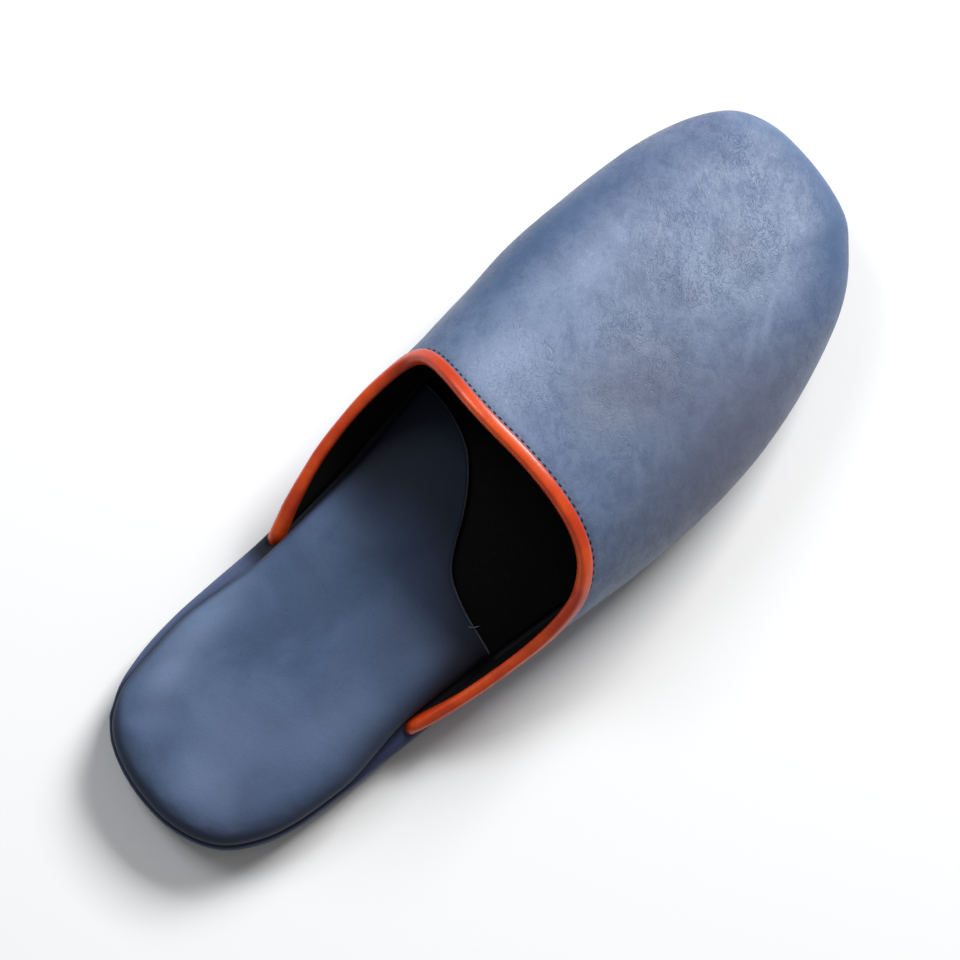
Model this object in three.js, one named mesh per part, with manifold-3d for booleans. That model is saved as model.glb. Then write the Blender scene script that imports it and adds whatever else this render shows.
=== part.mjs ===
// A right-foot, open-back house slipper: a leather upper on a flat sole wrapped in leather.
// Millimetres, +Z up, toe toward +Y, lateral (outer) side toward +X.
import * as THREE from 'three';
import { mergeVertices } from 'three/addons/utils/BufferGeometryUtils.js';
import Module from 'manifold-3d';

const wasm = await Module();
wasm.setup();

// Driving sizes
const shoeLength = 270;
const ballWidth = 97;
const instepHeight = 56;
const upperWall = 1.6;
const outsoleThickness = 2.5;
const midsoleHeelThickness = 6.5;
const midsoleToeThickness = 5;
const footbedThickness = 1.2;
const padThickness = 5.5;
const padFrontThickness = 1.8;
const toeSpring = 5;
const archRise = 1.2;
const heelLift = 0.8;
const overhang = 2.4;
const featherInset = 1.6;
const stripMedial = 2.8;
const stripLateral = 0.9;
const outsoleInset = 1.4;
const outsoleRound = 1;
const edgeRound = 1.5;
const padRound = 9;
const padUnderRound = 1;
const bindingLeather = 0.7;
const bindingLeg = 2.2;

// Clearances
const seatGap = 0.3;
const bindingGap = 0.35;

// Seen from above. `at` is a share of the length from the heel tip, medial and lateral are
// shares of the ball width, and the tucks are shares of the overhang by which the sole's
// edge lies inside this outline.
const outlineRows = [
  { at: 0, medial: 0.01, lateral: 0.01, medialTuck: 0, lateralTuck: 0 },
  { at: 0.02, medial: -0.232, lateral: 0.205, medialTuck: 0, lateralTuck: 0 },
  { at: 0.06, medial: -0.331, lateral: 0.294, medialTuck: 0, lateralTuck: 0 },
  { at: 0.1, medial: -0.364, lateral: 0.334, medialTuck: 0, lateralTuck: 0 },
  { at: 0.16, medial: -0.379, lateral: 0.36, medialTuck: 0, lateralTuck: 0 },
  { at: 0.22, medial: -0.372, lateral: 0.376, medialTuck: 0, lateralTuck: 0 },
  { at: 0.28, medial: -0.365, lateral: 0.401, medialTuck: 0.1, lateralTuck: 0.3 },
  { at: 0.34, medial: -0.385, lateral: 0.435, medialTuck: 0.9, lateralTuck: 0.9 },
  { at: 0.4, medial: -0.416, lateral: 0.464, medialTuck: 2, lateralTuck: 1.2 },
  { at: 0.46, medial: -0.431, lateral: 0.487, medialTuck: 1.9, lateralTuck: 1.2 },
  { at: 0.54, medial: -0.434, lateral: 0.516, medialTuck: 1.1, lateralTuck: 1.1 },
  { at: 0.62, medial: -0.445, lateral: 0.532, medialTuck: 0.9, lateralTuck: 1 },
  { at: 0.7, medial: -0.46, lateral: 0.528, medialTuck: 0.9, lateralTuck: 1 },
  { at: 0.78, medial: -0.451, lateral: 0.494, medialTuck: 1, lateralTuck: 1 },
  { at: 0.86, medial: -0.426, lateral: 0.432, medialTuck: 1, lateralTuck: 1 },
  { at: 0.92, medial: -0.3835, lateral: 0.357, medialTuck: 1, lateralTuck: 1 },
  { at: 0.96, medial: -0.327, lateral: 0.262, medialTuck: 1, lateralTuck: 1 },
  { at: 0.985, medial: -0.258, lateral: 0.167, medialTuck: 1, lateralTuck: 1 },
  { at: 1, medial: -0.103, lateral: -0.103, medialTuck: 1, lateralTuck: 1 },
];

// Sections of the last from the side. The roof is a share of the instep height above the
// floor, the girth a share of it above the midsole, the ridge a share of the ball width, and
// the fullness the power of the section's arch, where 2 is an ellipse.
const sectionRows = [
  { at: 0.15, roof: 1.06, girth: 0.07, ridge: 0.015, fullness: 2.2 },
  { at: 0.25, roof: 1.06, girth: 0.1, ridge: 0.015, fullness: 2.2 },
  { at: 0.35, roof: 1.05, girth: 0.17, ridge: 0.01, fullness: 2.2 },
  { at: 0.45, roof: 1.03, girth: 0.23, ridge: 0.005, fullness: 2.2 },
  { at: 0.531, roof: 1, girth: 0.25, ridge: 0, fullness: 2.2 },
  { at: 0.6, roof: 0.955, girth: 0.24, ridge: -0.005, fullness: 2.2 },
  { at: 0.69, roof: 0.87, girth: 0.21, ridge: -0.01, fullness: 2.25 },
  { at: 0.8, roof: 0.78, girth: 0.18, ridge: -0.01, fullness: 2.35 },
  { at: 0.9, roof: 0.695, girth: 0.155, ridge: -0.01, fullness: 2.5 },
  { at: 1, roof: 0.62, girth: 0.14, ridge: -0.01, fullness: 2.7 },
];

// The collar seen from each side: how far along the shoe it lies at a height, which is a
// share of the instep height above the floor.
const collarRows = [
  { height: 0.14, medial: 0.292, lateral: 0.25 },
  { height: 0.2, medial: 0.312, lateral: 0.276 },
  { height: 0.28, medial: 0.342, lateral: 0.318 },
  { height: 0.36, medial: 0.384, lateral: 0.372 },
  { height: 0.44, medial: 0.432, lateral: 0.415 },
  { height: 0.53, medial: 0.485, lateral: 0.444 },
  { height: 0.62, medial: 0.52, lateral: 0.469 },
  { height: 0.71, medial: 0.535, lateral: 0.487 },
  { height: 0.8, medial: 0.54, lateral: 0.504 },
  { height: 0.9, medial: 0.538, lateral: 0.519 },
  { height: 1, medial: 0.531, lateral: 0.531 },
];

// The heel pad's waved front edge: how far along the shoe it lies, across the ball width
const padFrontRows = [
  { across: -0.45, at: 0.533 },
  { across: -0.3, at: 0.535 },
  { across: -0.2, at: 0.5285 },
  { across: -0.1, at: 0.511 },
  { across: 0, at: 0.4715 },
  { across: 0.1, at: 0.4145 },
  { across: 0.2, at: 0.393 },
  { across: 0.32, at: 0.381 },
  { across: 0.5, at: 0.366 },
];

// Flat spots of the outsole and the places between them, as shares of the length
const heelFlatFrom = 0.06;
const heelFlatTo = 0.3;
const ballFlatFrom = 0.56;
const ballFlatTo = 0.8;

// The fan of sections round the toe starts where the outline is widest.
const fanAt = 0.69;

// The pad grows thinner toward its front between these shares of the length.
const padThinFrom = 0.3;
const padThinTo = 0.42;

// The pad is widest at this share of its height.
const padWidestShare = 0.35;

// The medial strip beside the pad grows to its full width between the first two of these
// shares of the length, and both strips run out between the other two.
const stripFullFrom = 0.03;
const stripFullTo = 0.13;
const stripEndFrom = 0.16;
const stripEndTo = 0.27;

// Counts
const slabStations = 44;
const tuckRings = 4;
const crownRings = 14;
const crownCrowding = 1.5;
const rearColumns = 12;
const fanColumns = 26;
const collarSteps = 30;
const padFrontSteps = 60;
const bindingSteps = 6;
const wayStep = 0.004;
const mergeDistance = 1e-4;

const materials = {
  blueLeather: { color: 0x6f84ab, roughness: 0.5, metalness: 0 },
  blueWrap: { color: 0x4d5c80, roughness: 0.55, metalness: 0 },
  bluePad: { color: 0x5b6c93, roughness: 0.55, metalness: 0 },
  orangeLeather: { color: 0xd9532a, roughness: 0.4, metalness: 0 },
  blackLining: { color: 0x0d0b0a, roughness: 0.9, metalness: 0 },
  darkSuede: { color: 0x2c2723, roughness: 0.95, metalness: 0 },
};

const lerp = THREE.MathUtils.lerp;
const smoothstep = THREE.MathUtils.smoothstep;

// A smooth curve through one column of a table, against another
function smoothColumn(rows, keyOf, column) {
  const keys = rows.map(keyOf);
  const values = rows.map((row) => row[column]);
  const last = rows.length - 1;
  const slopes = values.map((value, i) => {
    const before = Math.max(i - 1, 0);
    const after = Math.min(i + 1, last);
    return (values[after] - values[before]) / (keys[after] - keys[before]);
  });
  return (key) => {
    const inside = THREE.MathUtils.clamp(key, keys[0], keys[last]);
    let i = 0;
    while (i < last - 1 && inside > keys[i + 1]) i += 1;
    const span = keys[i + 1] - keys[i];
    const t = (inside - keys[i]) / span;
    const a = (1 + 2 * t) * (1 - t) ** 2;
    const b = t * (1 - t) ** 2;
    const c = t ** 2 * (3 - 2 * t);
    const d = t ** 2 * (t - 1);
    return a * values[i] + b * span * slopes[i] + c * values[i + 1] + d * span * slopes[i + 1];
  };
}

// Round ends: the outline is smooth against this turn, which runs 0 to 1 from heel to toe.
const turnOf = (at) => Math.acos(1 - 2 * at) / Math.PI;
const placeOf = (turn) => (1 - Math.cos(Math.PI * turn)) / 2;

const outlineCurves = {};
for (const column of ['medial', 'lateral', 'medialTuck', 'lateralTuck']) {
  outlineCurves[column] = smoothColumn(outlineRows, (row) => turnOf(row.at), column);
}
const sectionCurves = {};
for (const column of ['roof', 'girth', 'ridge', 'fullness']) {
  sectionCurves[column] = smoothColumn(sectionRows, (row) => row.at, column);
}
const collarCurves = {};
for (const column of ['medial', 'lateral']) {
  collarCurves[column] = smoothColumn(collarRows, (row) => row.height, column);
}

// Round the outline: `way` is -1 at the heel tip, 0 at the toe tip and 1 at the heel tip
// again, with the medial side below 0 and the lateral side above it.
function wrapWay(way) {
  if (way > 1) return way - 2;
  if (way < -1) return way + 2;
  return way;
}

function outlinePoint(way) {
  const wrapped = wrapWay(way);
  const side = wrapped < 0 ? 'medial' : 'lateral';
  const turn = 1 - Math.abs(wrapped);
  return new THREE.Vector2(ballWidth * outlineCurves[side](turn), shoeLength * placeOf(turn));
}

function outlineNormal(way) {
  const ahead = outlinePoint(way + wayStep);
  const behind = outlinePoint(way - wayStep);
  const along = ahead.sub(behind).normalize();
  return new THREE.Vector2(-along.y, along.x);
}

function insetPoint(way, inset) {
  return outlinePoint(way).addScaledVector(outlineNormal(way), -inset);
}

function tuckAt(way) {
  const wrapped = wrapWay(way);
  const column = wrapped < 0 ? 'medialTuck' : 'lateralTuck';
  return overhang * outlineCurves[column](1 - Math.abs(wrapped));
}

// Height of the sole's underside above the floor
function undersideAt(y) {
  const at = y / shoeLength;
  const heel = heelLift * (1 - smoothstep(at, 0, heelFlatFrom));
  const archShare = THREE.MathUtils.clamp((at - heelFlatTo) / (ballFlatFrom - heelFlatTo), 0, 1);
  const arch = archRise * Math.sin(Math.PI * archShare) ** 2;
  const toeShare = Math.max(0, (at - ballFlatTo) / (1 - ballFlatTo));
  return heel + arch + toeSpring * toeShare ** 2;
}

function midsoleThicknessAt(y) {
  const share = smoothstep(y / shoeLength, heelFlatTo, ballFlatFrom);
  return lerp(midsoleHeelThickness, midsoleToeThickness, share);
}

const midsoleBottomAt = (y) => undersideAt(y) + outsoleThickness + seatGap;
const midsoleTopAt = (y) => midsoleBottomAt(y) + midsoleThicknessAt(y);
const upperFootAt = (y) => midsoleTopAt(y) + seatGap;
const footbedTopAt = (y) => upperFootAt(y) + footbedThickness;
const padBottomAt = (y) => footbedTopAt(y) + seatGap;

// A closed mesh from rows of points and faces of point numbers
function meshFrom(points, faces) {
  const geometry = new THREE.BufferGeometry();
  geometry.setAttribute('position', new THREE.Float32BufferAttribute(points.flatMap((p) => p.toArray()), 3));
  geometry.setIndex(faces.flat());
  const merged = mergeVertices(geometry, mergeDistance);
  const index = merged.index.array;
  const kept = [];
  for (let i = 0; i < index.length; i += 3) {
    const [a, b, c] = [index[i], index[i + 1], index[i + 2]];
    if (a !== b && b !== c && c !== a) kept.push(a, b, c);
  }
  merged.setIndex(kept);
  return merged;
}

// A layer of the sole. Each ring has an inset from the outline and a height, listed from the
// underside up, and the first and last rings are closed across from side to side.
function soleLayer(rings) {
  const points = [];
  const faces = [];
  const count = 2 * slabStations;
  for (const ring of rings) {
    for (let i = 0; i < count; i += 1) {
      const way = -1 + (2 * i) / count;
      const plan = insetPoint(way, ring.inset(way));
      points.push(new THREE.Vector3(plan.x, plan.y, ring.height(plan.y)));
    }
  }
  for (let r = 0; r < rings.length - 1; r += 1) {
    for (let i = 0; i < count; i += 1) {
      const a = r * count + i;
      const b = r * count + ((i + 1) % count);
      faces.push([a, b + count, b], [a, a + count, b + count]);
    }
  }
  const top = (rings.length - 1) * count;
  for (let i = 0; i < slabStations; i += 1) {
    const [m0, m1, l0, l1] = [i, i + 1, (count - i) % count, count - i - 1];
    faces.push([m0, m1, l1], [m0, l1, l0]);
    faces.push([top + m0, top + l1, top + m1], [top + m0, top + l0, top + l1]);
  }
  return meshFrom(points, faces);
}

function solidOf(geometry) {
  const bare = geometry.clone();
  bare.deleteAttribute('normal');
  bare.deleteAttribute('uv');
  const merged = mergeVertices(bare, mergeDistance);
  return new wasm.Manifold(new wasm.Mesh({
    numProp: 3,
    vertProperties: new Float32Array(merged.attributes.position.array),
    triVerts: new Uint32Array(merged.index.array),
  }));
}

function geometryOf(solid) {
  const mesh = solid.getMesh();
  const geometry = new THREE.BufferGeometry();
  geometry.setAttribute('position', new THREE.BufferAttribute(new Float32Array(mesh.vertProperties), 3));
  geometry.setIndex(new THREE.BufferAttribute(new Uint32Array(mesh.triVerts), 1));
  return geometry;
}

function outsole() {
  const inset = (way) => tuckAt(way) + outsoleInset;
  return soleLayer([
    { inset: (way) => inset(way) + outsoleRound, height: (y) => undersideAt(y) },
    { inset, height: (y) => undersideAt(y) + outsoleRound },
    { inset, height: (y) => undersideAt(y) + outsoleThickness },
  ]);
}

function midsole() {
  const edge = (extra) => (way) => tuckAt(way) + extra;
  const corner = edgeRound * (1 - Math.SQRT1_2);
  return soleLayer([
    { inset: edge(edgeRound), height: (y) => midsoleBottomAt(y) },
    { inset: edge(corner), height: (y) => midsoleBottomAt(y) + corner },
    { inset: edge(0), height: (y) => midsoleBottomAt(y) + midsoleThicknessAt(y) / 2 },
    { inset: edge(corner), height: (y) => midsoleTopAt(y) - corner },
    { inset: edge(edgeRound), height: (y) => midsoleTopAt(y) },
  ]);
}

// The upper stands this far inside the sole's edge; the footbed clears its inner face.
const footbedInset = featherInset + upperWall + bindingGap + bindingLeather + 2 * seatGap;

function footbed() {
  const inset = (way) => tuckAt(way) + footbedInset;
  return soleLayer([
    { inset, height: (y) => upperFootAt(y) },
    { inset, height: (y) => footbedTopAt(y) },
  ]);
}

// The pad's edge leaves a strip of the wrapped sole bare round the heel, and lies over the
// footbed where the upper's walls stand beside it.
function padInset(way) {
  const wrapped = wrapWay(way);
  const at = placeOf(1 - Math.abs(wrapped));
  const side = wrapped < 0 ? stripMedial : stripLateral;
  const rear = lerp(stripLateral, side, smoothstep(at, stripFullFrom, stripFullTo));
  return tuckAt(way) + lerp(rear, footbedInset, smoothstep(at, stripEndFrom, stripEndTo));
}

function padThicknessAt(y) {
  const share = smoothstep(y / shoeLength, padThinFrom, padThinTo);
  return lerp(padThickness, padFrontThickness, share);
}

const padFrontCurve = smoothColumn(padFrontRows, (row) => row.across, 'at');
const padFrontEdge = (x) => shoeLength * padFrontCurve(x / ballWidth);

function heelPad() {
  const levels = [0, 0.35, 0.68, 0.9, 1];
  const bodyAt = (y) => padBottomAt(y) - upperFootAt(y) + padThicknessAt(y);
  const rings = [{ inset: (way) => padInset(way) + padUnderRound, height: upperFootAt }];
  for (const level of levels) {
    const rise = Math.sin((level * Math.PI) / 2);
    const run = 1 - Math.cos((level * Math.PI) / 2);
    rings.push({
      inset: (way) => padInset(way) + padRound * run,
      height: (y) => upperFootAt(y) + bodyAt(y) * lerp(padWidestShare, 1, rise),
    });
  }
  const aboveFootbed = soleLayer([
    { inset: (way) => tuckAt(way) + footbedInset - seatGap, height: (y) => midsoleBottomAt(y) },
    { inset: (way) => tuckAt(way) + footbedInset - seatGap, height: padBottomAt },
  ]);
  const reach = ballWidth;
  const shape = new THREE.Shape();
  shape.moveTo(-reach, 2 * shoeLength);
  for (let i = 0; i <= padFrontSteps; i += 1) {
    const x = lerp(-reach, reach, i / padFrontSteps);
    shape.lineTo(x, padFrontEdge(x));
  }
  shape.lineTo(reach, 2 * shoeLength);
  const ahead = new THREE.ExtrudeGeometry(shape, { depth: 2 * instepHeight, bevelEnabled: false });
  ahead.translate(0, 0, -instepHeight);
  const whole = solidOf(soleLayer(rings)).subtract(solidOf(aboveFootbed));
  return geometryOf(whole.subtract(solidOf(ahead)));
}

// A point of the upper's outer face. `ring` runs from 0 at the sole over the widest line to
// the ridge, and `way` runs round the outline.
const ringCount = tuckRings + crownRings;
const fanWay = 1 - turnOf(fanAt);
const fanCentre = new THREE.Vector2(ballWidth * sectionCurves.ridge(fanAt), shoeLength * fanAt);

function lastPoint(way, ring) {
  const widest = outlinePoint(way);
  const widestHeight = midsoleTopAt(widest.y) + instepHeight * sectionCurves.girth(widest.y / shoeLength);
  if (ring < tuckRings) {
    const share = ring / tuckRings;
    const foot = insetPoint(way, tuckAt(way) + featherInset);
    const plan = foot.clone().lerp(widest, Math.sin((share * Math.PI) / 2));
    return new THREE.Vector3(plan.x, plan.y, lerp(upperFootAt(foot.y), widestHeight, share));
  }
  const angle = (((ring - tuckRings) / crownRings) ** crownCrowding * Math.PI) / 2;
  const power = 2 / sectionCurves.fullness(widest.y / shoeLength);
  const out = ring === ringCount ? 0 : Math.cos(angle) ** power;
  const rise = Math.sin(angle) ** power;
  const inFan = Math.abs(way) < fanWay;
  const ridgeX = ballWidth * sectionCurves.ridge(widest.y / shoeLength);
  const top = inFan ? fanCentre : new THREE.Vector2(ridgeX, widest.y);
  const x = top.x + (widest.x - top.x) * out;
  const y = top.y + (widest.y - top.y) * out;
  const roof = instepHeight * sectionCurves.roof(y / shoeLength);
  return new THREE.Vector3(x, y, lerp(widestHeight, roof, rise));
}

// How far along the shoe the collar crosses a ring on one side
function collarPlace(sign, ring) {
  const curve = sign < 0 ? collarCurves.medial : collarCurves.lateral;
  let low = collarRows[0].lateral;
  let high = fanAt;
  for (let i = 0; i < collarSteps; i += 1) {
    const at = (low + high) / 2;
    const height = lastPoint(sign * (1 - turnOf(at)), ring).z / instepHeight;
    if (at > curve(height)) high = at;
    else low = at;
  }
  return (low + high) / 2;
}

// Columns of the upper from its medial end round the toe to its lateral end
function upperGrid() {
  const rows = [];
  for (let ring = 0; ring <= ringCount; ring += 1) {
    const row = [];
    const medialEnd = collarPlace(-1, ring);
    const lateralEnd = ring === ringCount ? medialEnd : collarPlace(1, ring);
    for (let i = 0; i < rearColumns; i += 1) {
      const at = lerp(medialEnd, fanAt, i / rearColumns);
      row.push(lastPoint(-(1 - turnOf(at)), ring));
    }
    for (let i = 0; i <= fanColumns; i += 1) {
      row.push(lastPoint(lerp(-fanWay, fanWay, i / fanColumns), ring));
    }
    for (let i = rearColumns - 1; i >= 0; i -= 1) {
      const at = lerp(lateralEnd, fanAt, i / rearColumns);
      row.push(lastPoint(1 - turnOf(at), ring));
    }
    rows.push(row);
  }
  return rows;
}

// Faces between the rows of a grid whose first point has the number `first`
function gridFaces(grid, first) {
  const width = grid[0].length;
  const faces = [];
  for (let r = 0; r < grid.length - 1; r += 1) {
    for (let c = 0; c < width - 1; c += 1) {
      const a = first + r * width + c;
      faces.push([a, a + width + 1, a + 1], [a, a + width, a + width + 1]);
    }
  }
  return faces;
}

const keyOf = (point) => point.toArray().map((value) => Math.fround(value)).join();

// The outward direction at each point of a grid
function gridNormals(grid) {
  const skin = meshFrom(grid.flat(), gridFaces(grid, 0));
  skin.computeVertexNormals();
  const found = new Map();
  for (let i = 0; i < skin.attributes.position.count; i += 1) {
    const place = new THREE.Vector3().fromBufferAttribute(skin.attributes.position, i);
    found.set(keyOf(place), new THREE.Vector3().fromBufferAttribute(skin.attributes.normal, i));
  }
  return grid.map((row) => row.map((point) => found.get(keyOf(point))));
}

// A wall between two depths under a grid, closed along its foot and its collar edge
function wallBetween(grid, normals, outerDepth, innerDepth) {
  const sunk = (depth) => grid.map((row, r) => (
    row.map((point, c) => point.clone().addScaledVector(normals[r][c], -depth))
  ));
  const outer = sunk(outerDepth);
  const inner = sunk(innerDepth);
  const width = grid[0].length;
  const count = grid.length * width;
  const faces = gridFaces(outer, 0);
  for (const [a, b, c] of gridFaces(inner, count)) faces.push([a, c, b]);
  const rim = [];
  for (let r = grid.length - 1; r > 0; r -= 1) rim.push(r * width);
  for (let c = 0; c < width; c += 1) rim.push(c);
  for (let r = 1; r < grid.length; r += 1) rim.push(r * width + width - 1);
  for (let i = 0; i < rim.length - 1; i += 1) {
    const [a, b] = [rim[i], rim[i + 1]];
    faces.push([a, b, b + count], [a, b + count, a + count]);
  }
  return meshFrom(outer.flat().concat(inner.flat()), faces);
}

// The edge binding: a strip folded over the upper's collar edge, with a round outer face
function bindingSection() {
  const outer = upperWall / 2 + bindingGap + bindingLeather;
  const section = [[bindingLeg, -outer], [bindingLeg, outer]];
  for (let i = 0; i <= bindingSteps; i += 1) {
    const angle = Math.PI / 2 + (Math.PI * i) / bindingSteps;
    section.push([outer * Math.cos(angle), outer * Math.sin(angle)]);
  }
  return section;
}

function collarFrames(grid) {
  const width = grid[0].length;
  const medial = grid.map((row) => [row[0], row[1]]);
  const lateral = grid.map((row) => [row[width - 1], row[width - 2]]).reverse().slice(1);
  const rim = medial.concat(lateral);
  const edges = rim.map(([edge]) => edge);
  return rim.map(([edge, ahead], i) => {
    const before = edges[Math.max(i - 1, 0)];
    const after = edges[Math.min(i + 1, edges.length - 1)];
    const along = after.clone().sub(before).normalize();
    const into = ahead.clone().sub(edge);
    into.addScaledVector(along, -into.dot(along)).normalize();
    const out = new THREE.Vector3().crossVectors(along, into).normalize();
    const middle = edge.clone().addScaledVector(out, -upperWall / 2);
    return { middle, along, into, out };
  });
}

// The upper with a clearance added to its faces and its collar edge, and a deeper foot
function grownUpper(grid, normals, frames) {
  const grown = grid.map((row, ring) => {
    const points = row.map((point) => point.clone());
    points[0].addScaledVector(frames[ring].into, -bindingGap);
    points[row.length - 1].addScaledVector(frames[2 * ringCount - ring].into, -bindingGap);
    return points;
  });
  const below = grown[0].map((point) => point.clone().setZ(point.z - 2 * bindingLeg));
  return wallBetween([below, ...grown], [normals[0], ...normals], -bindingGap, upperWall + bindingGap);
}

function binding(grid, normals) {
  const frames = collarFrames(grid);
  const run = 2 * bindingLeg;
  const start = frames[0];
  const end = frames[frames.length - 1];
  const first = { ...start, middle: start.middle.clone().addScaledVector(start.along, -run) };
  const last = { ...end, middle: end.middle.clone().addScaledVector(end.along, run) };
  const stations = [first, ...frames, last];
  const section = bindingSection();
  const points = [];
  for (const { middle, into, out } of stations) {
    for (const [deep, side] of section) {
      points.push(middle.clone().addScaledVector(into, deep).addScaledVector(out, side));
    }
  }
  const count = section.length;
  const faces = [];
  for (let s = 0; s < stations.length - 1; s += 1) {
    for (let i = 0; i < count; i += 1) {
      const a = s * count + i;
      const b = s * count + ((i + 1) % count);
      faces.push([a, b, b + count], [a, b + count, a + count]);
    }
  }
  const caps = THREE.ShapeUtils.triangulateShape(section.map(([d, n]) => new THREE.Vector2(d, n)), []);
  const lastSection = (stations.length - 1) * count;
  for (const [a, b, c] of caps) {
    faces.push([a, c, b], [lastSection + a, lastSection + b, lastSection + c]);
  }
  const soleBelow = soleLayer([
    { inset: () => -run, height: () => -run },
    { inset: () => -run, height: upperFootAt },
  ]);
  const folded = solidOf(meshFrom(points, faces)).subtract(solidOf(grownUpper(grid, normals, frames)));
  return geometryOf(folded.subtract(solidOf(soleBelow)));
}

function named(name, geometry, look) {
  const mesh = new THREE.Mesh(geometry, new THREE.MeshStandardMaterial(look));
  mesh.name = name;
  return mesh;
}

const grid = upperGrid();
const normals = gridNormals(grid);
const group = new THREE.Group();
group.add(named('outsole', outsole(), materials.darkSuede));
group.add(named('midsole', midsole(), materials.blueWrap));
group.add(named('footbed', footbed(), materials.blackLining));
group.add(named('heel_pad', heelPad(), materials.bluePad));
group.add(named('upper', wallBetween(grid, normals, 0, upperWall), materials.blueLeather));
group.add(named('binding', binding(grid, normals), materials.orangeLeather));

const box = new THREE.Box3().setFromObject(group);
const centre = box.getCenter(new THREE.Vector3());
group.position.set(-centre.x, -centre.y, -box.min.z);

export default group;
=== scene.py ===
"""Looks of a right-foot leather house slipper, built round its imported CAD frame, in metres."""

import math

import bmesh
import bpy
import numpy as np
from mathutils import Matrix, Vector, noise


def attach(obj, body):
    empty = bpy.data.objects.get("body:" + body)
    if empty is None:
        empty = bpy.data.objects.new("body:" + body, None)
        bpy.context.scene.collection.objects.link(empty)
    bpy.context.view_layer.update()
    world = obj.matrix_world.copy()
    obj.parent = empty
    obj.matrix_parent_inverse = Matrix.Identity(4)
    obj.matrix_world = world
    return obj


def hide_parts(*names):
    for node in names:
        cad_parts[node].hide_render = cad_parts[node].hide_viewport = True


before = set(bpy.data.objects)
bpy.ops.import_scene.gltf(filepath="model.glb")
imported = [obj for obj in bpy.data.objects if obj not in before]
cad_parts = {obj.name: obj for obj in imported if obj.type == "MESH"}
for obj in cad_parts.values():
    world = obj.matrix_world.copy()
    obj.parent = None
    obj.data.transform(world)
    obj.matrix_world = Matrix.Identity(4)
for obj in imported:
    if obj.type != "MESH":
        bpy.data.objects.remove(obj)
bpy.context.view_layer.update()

MM = 0.001

# Driving sizes, the same as in the CAD model
SHOE_LENGTH = 270 * MM
BALL_WIDTH = 97 * MM
INSTEP_HEIGHT = 56 * MM
UPPER_WALL = 1.6 * MM
OUTSOLE_THICKNESS = 2.5 * MM
MIDSOLE_HEEL_THICKNESS = 6.5 * MM
MIDSOLE_TOE_THICKNESS = 5 * MM
FOOTBED_THICKNESS = 1.2 * MM
PAD_THICKNESS = 5.5 * MM
PAD_FRONT_THICKNESS = 1.8 * MM
TOE_SPRING = 5 * MM
ARCH_RISE = 1.2 * MM
HEEL_LIFT = 0.8 * MM
OVERHANG = 2.4 * MM
FEATHER_INSET = 1.6 * MM
STRIP_MEDIAL = 2.8 * MM
STRIP_LATERAL = 0.9 * MM
OUTSOLE_INSET = 1.4 * MM
OUTSOLE_ROUND = 1 * MM
EDGE_ROUND = 1.5 * MM
PAD_ROUND = 9 * MM
BINDING_LEATHER = 0.7 * MM
BINDING_LEG = 2.2 * MM
SEAT_GAP = 0.3 * MM
BINDING_GAP = 0.35 * MM
FOOTBED_INSET = FEATHER_INSET + UPPER_WALL + BINDING_GAP + BINDING_LEATHER + 2 * SEAT_GAP
STITCH_PITCH = 2.3 * MM
STITCH_LENGTH = 1.4 * MM
STITCH_WIDTH = 0.42 * MM
STITCH_OFFSET = 0.75 * MM

# Outline from above: at, medial, lateral, medial tuck, lateral tuck. `at` is a share of the
# length, medial and lateral are shares of the ball width, the tucks shares of the overhang.
OUTLINE = np.array([
    (0, 0.01, 0.01, 0, 0),
    (0.02, -0.232, 0.205, 0, 0),
    (0.06, -0.331, 0.294, 0, 0),
    (0.1, -0.364, 0.334, 0, 0),
    (0.16, -0.379, 0.36, 0, 0),
    (0.22, -0.372, 0.376, 0, 0),
    (0.28, -0.365, 0.401, 0.1, 0.3),
    (0.34, -0.385, 0.435, 0.9, 0.9),
    (0.4, -0.416, 0.464, 2, 1.2),
    (0.46, -0.431, 0.487, 1.9, 1.2),
    (0.54, -0.434, 0.516, 1.1, 1.1),
    (0.62, -0.445, 0.532, 0.9, 1),
    (0.7, -0.46, 0.528, 0.9, 1),
    (0.78, -0.451, 0.494, 1, 1),
    (0.86, -0.426, 0.432, 1, 1),
    (0.92, -0.3835, 0.357, 1, 1),
    (0.96, -0.327, 0.262, 1, 1),
    (0.985, -0.258, 0.167, 1, 1),
    (1, -0.103, -0.103, 1, 1),
])

# Sections from the side: at, roof and girth as shares of the instep height, ridge as a share
# of the ball width, and the power of the section's arch
SECTIONS = np.array([
    (0.15, 1.06, 0.07, 0.015, 2.2),
    (0.25, 1.06, 0.1, 0.015, 2.2),
    (0.35, 1.05, 0.17, 0.01, 2.2),
    (0.45, 1.03, 0.23, 0.005, 2.2),
    (0.531, 1, 0.25, 0, 2.2),
    (0.6, 0.955, 0.24, -0.005, 2.2),
    (0.69, 0.87, 0.21, -0.01, 2.25),
    (0.8, 0.78, 0.18, -0.01, 2.35),
    (0.9, 0.695, 0.155, -0.01, 2.5),
    (1, 0.62, 0.14, -0.01, 2.7),
])

# Collar: height as a share of the instep height, and how far along the shoe it lies
COLLAR = np.array([
    (0.14, 0.292, 0.25),
    (0.2, 0.312, 0.276),
    (0.28, 0.342, 0.318),
    (0.36, 0.384, 0.372),
    (0.44, 0.432, 0.415),
    (0.53, 0.485, 0.444),
    (0.62, 0.52, 0.469),
    (0.71, 0.535, 0.487),
    (0.8, 0.54, 0.504),
    (0.9, 0.538, 0.519),
    (1, 0.531, 0.531),
])

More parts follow.
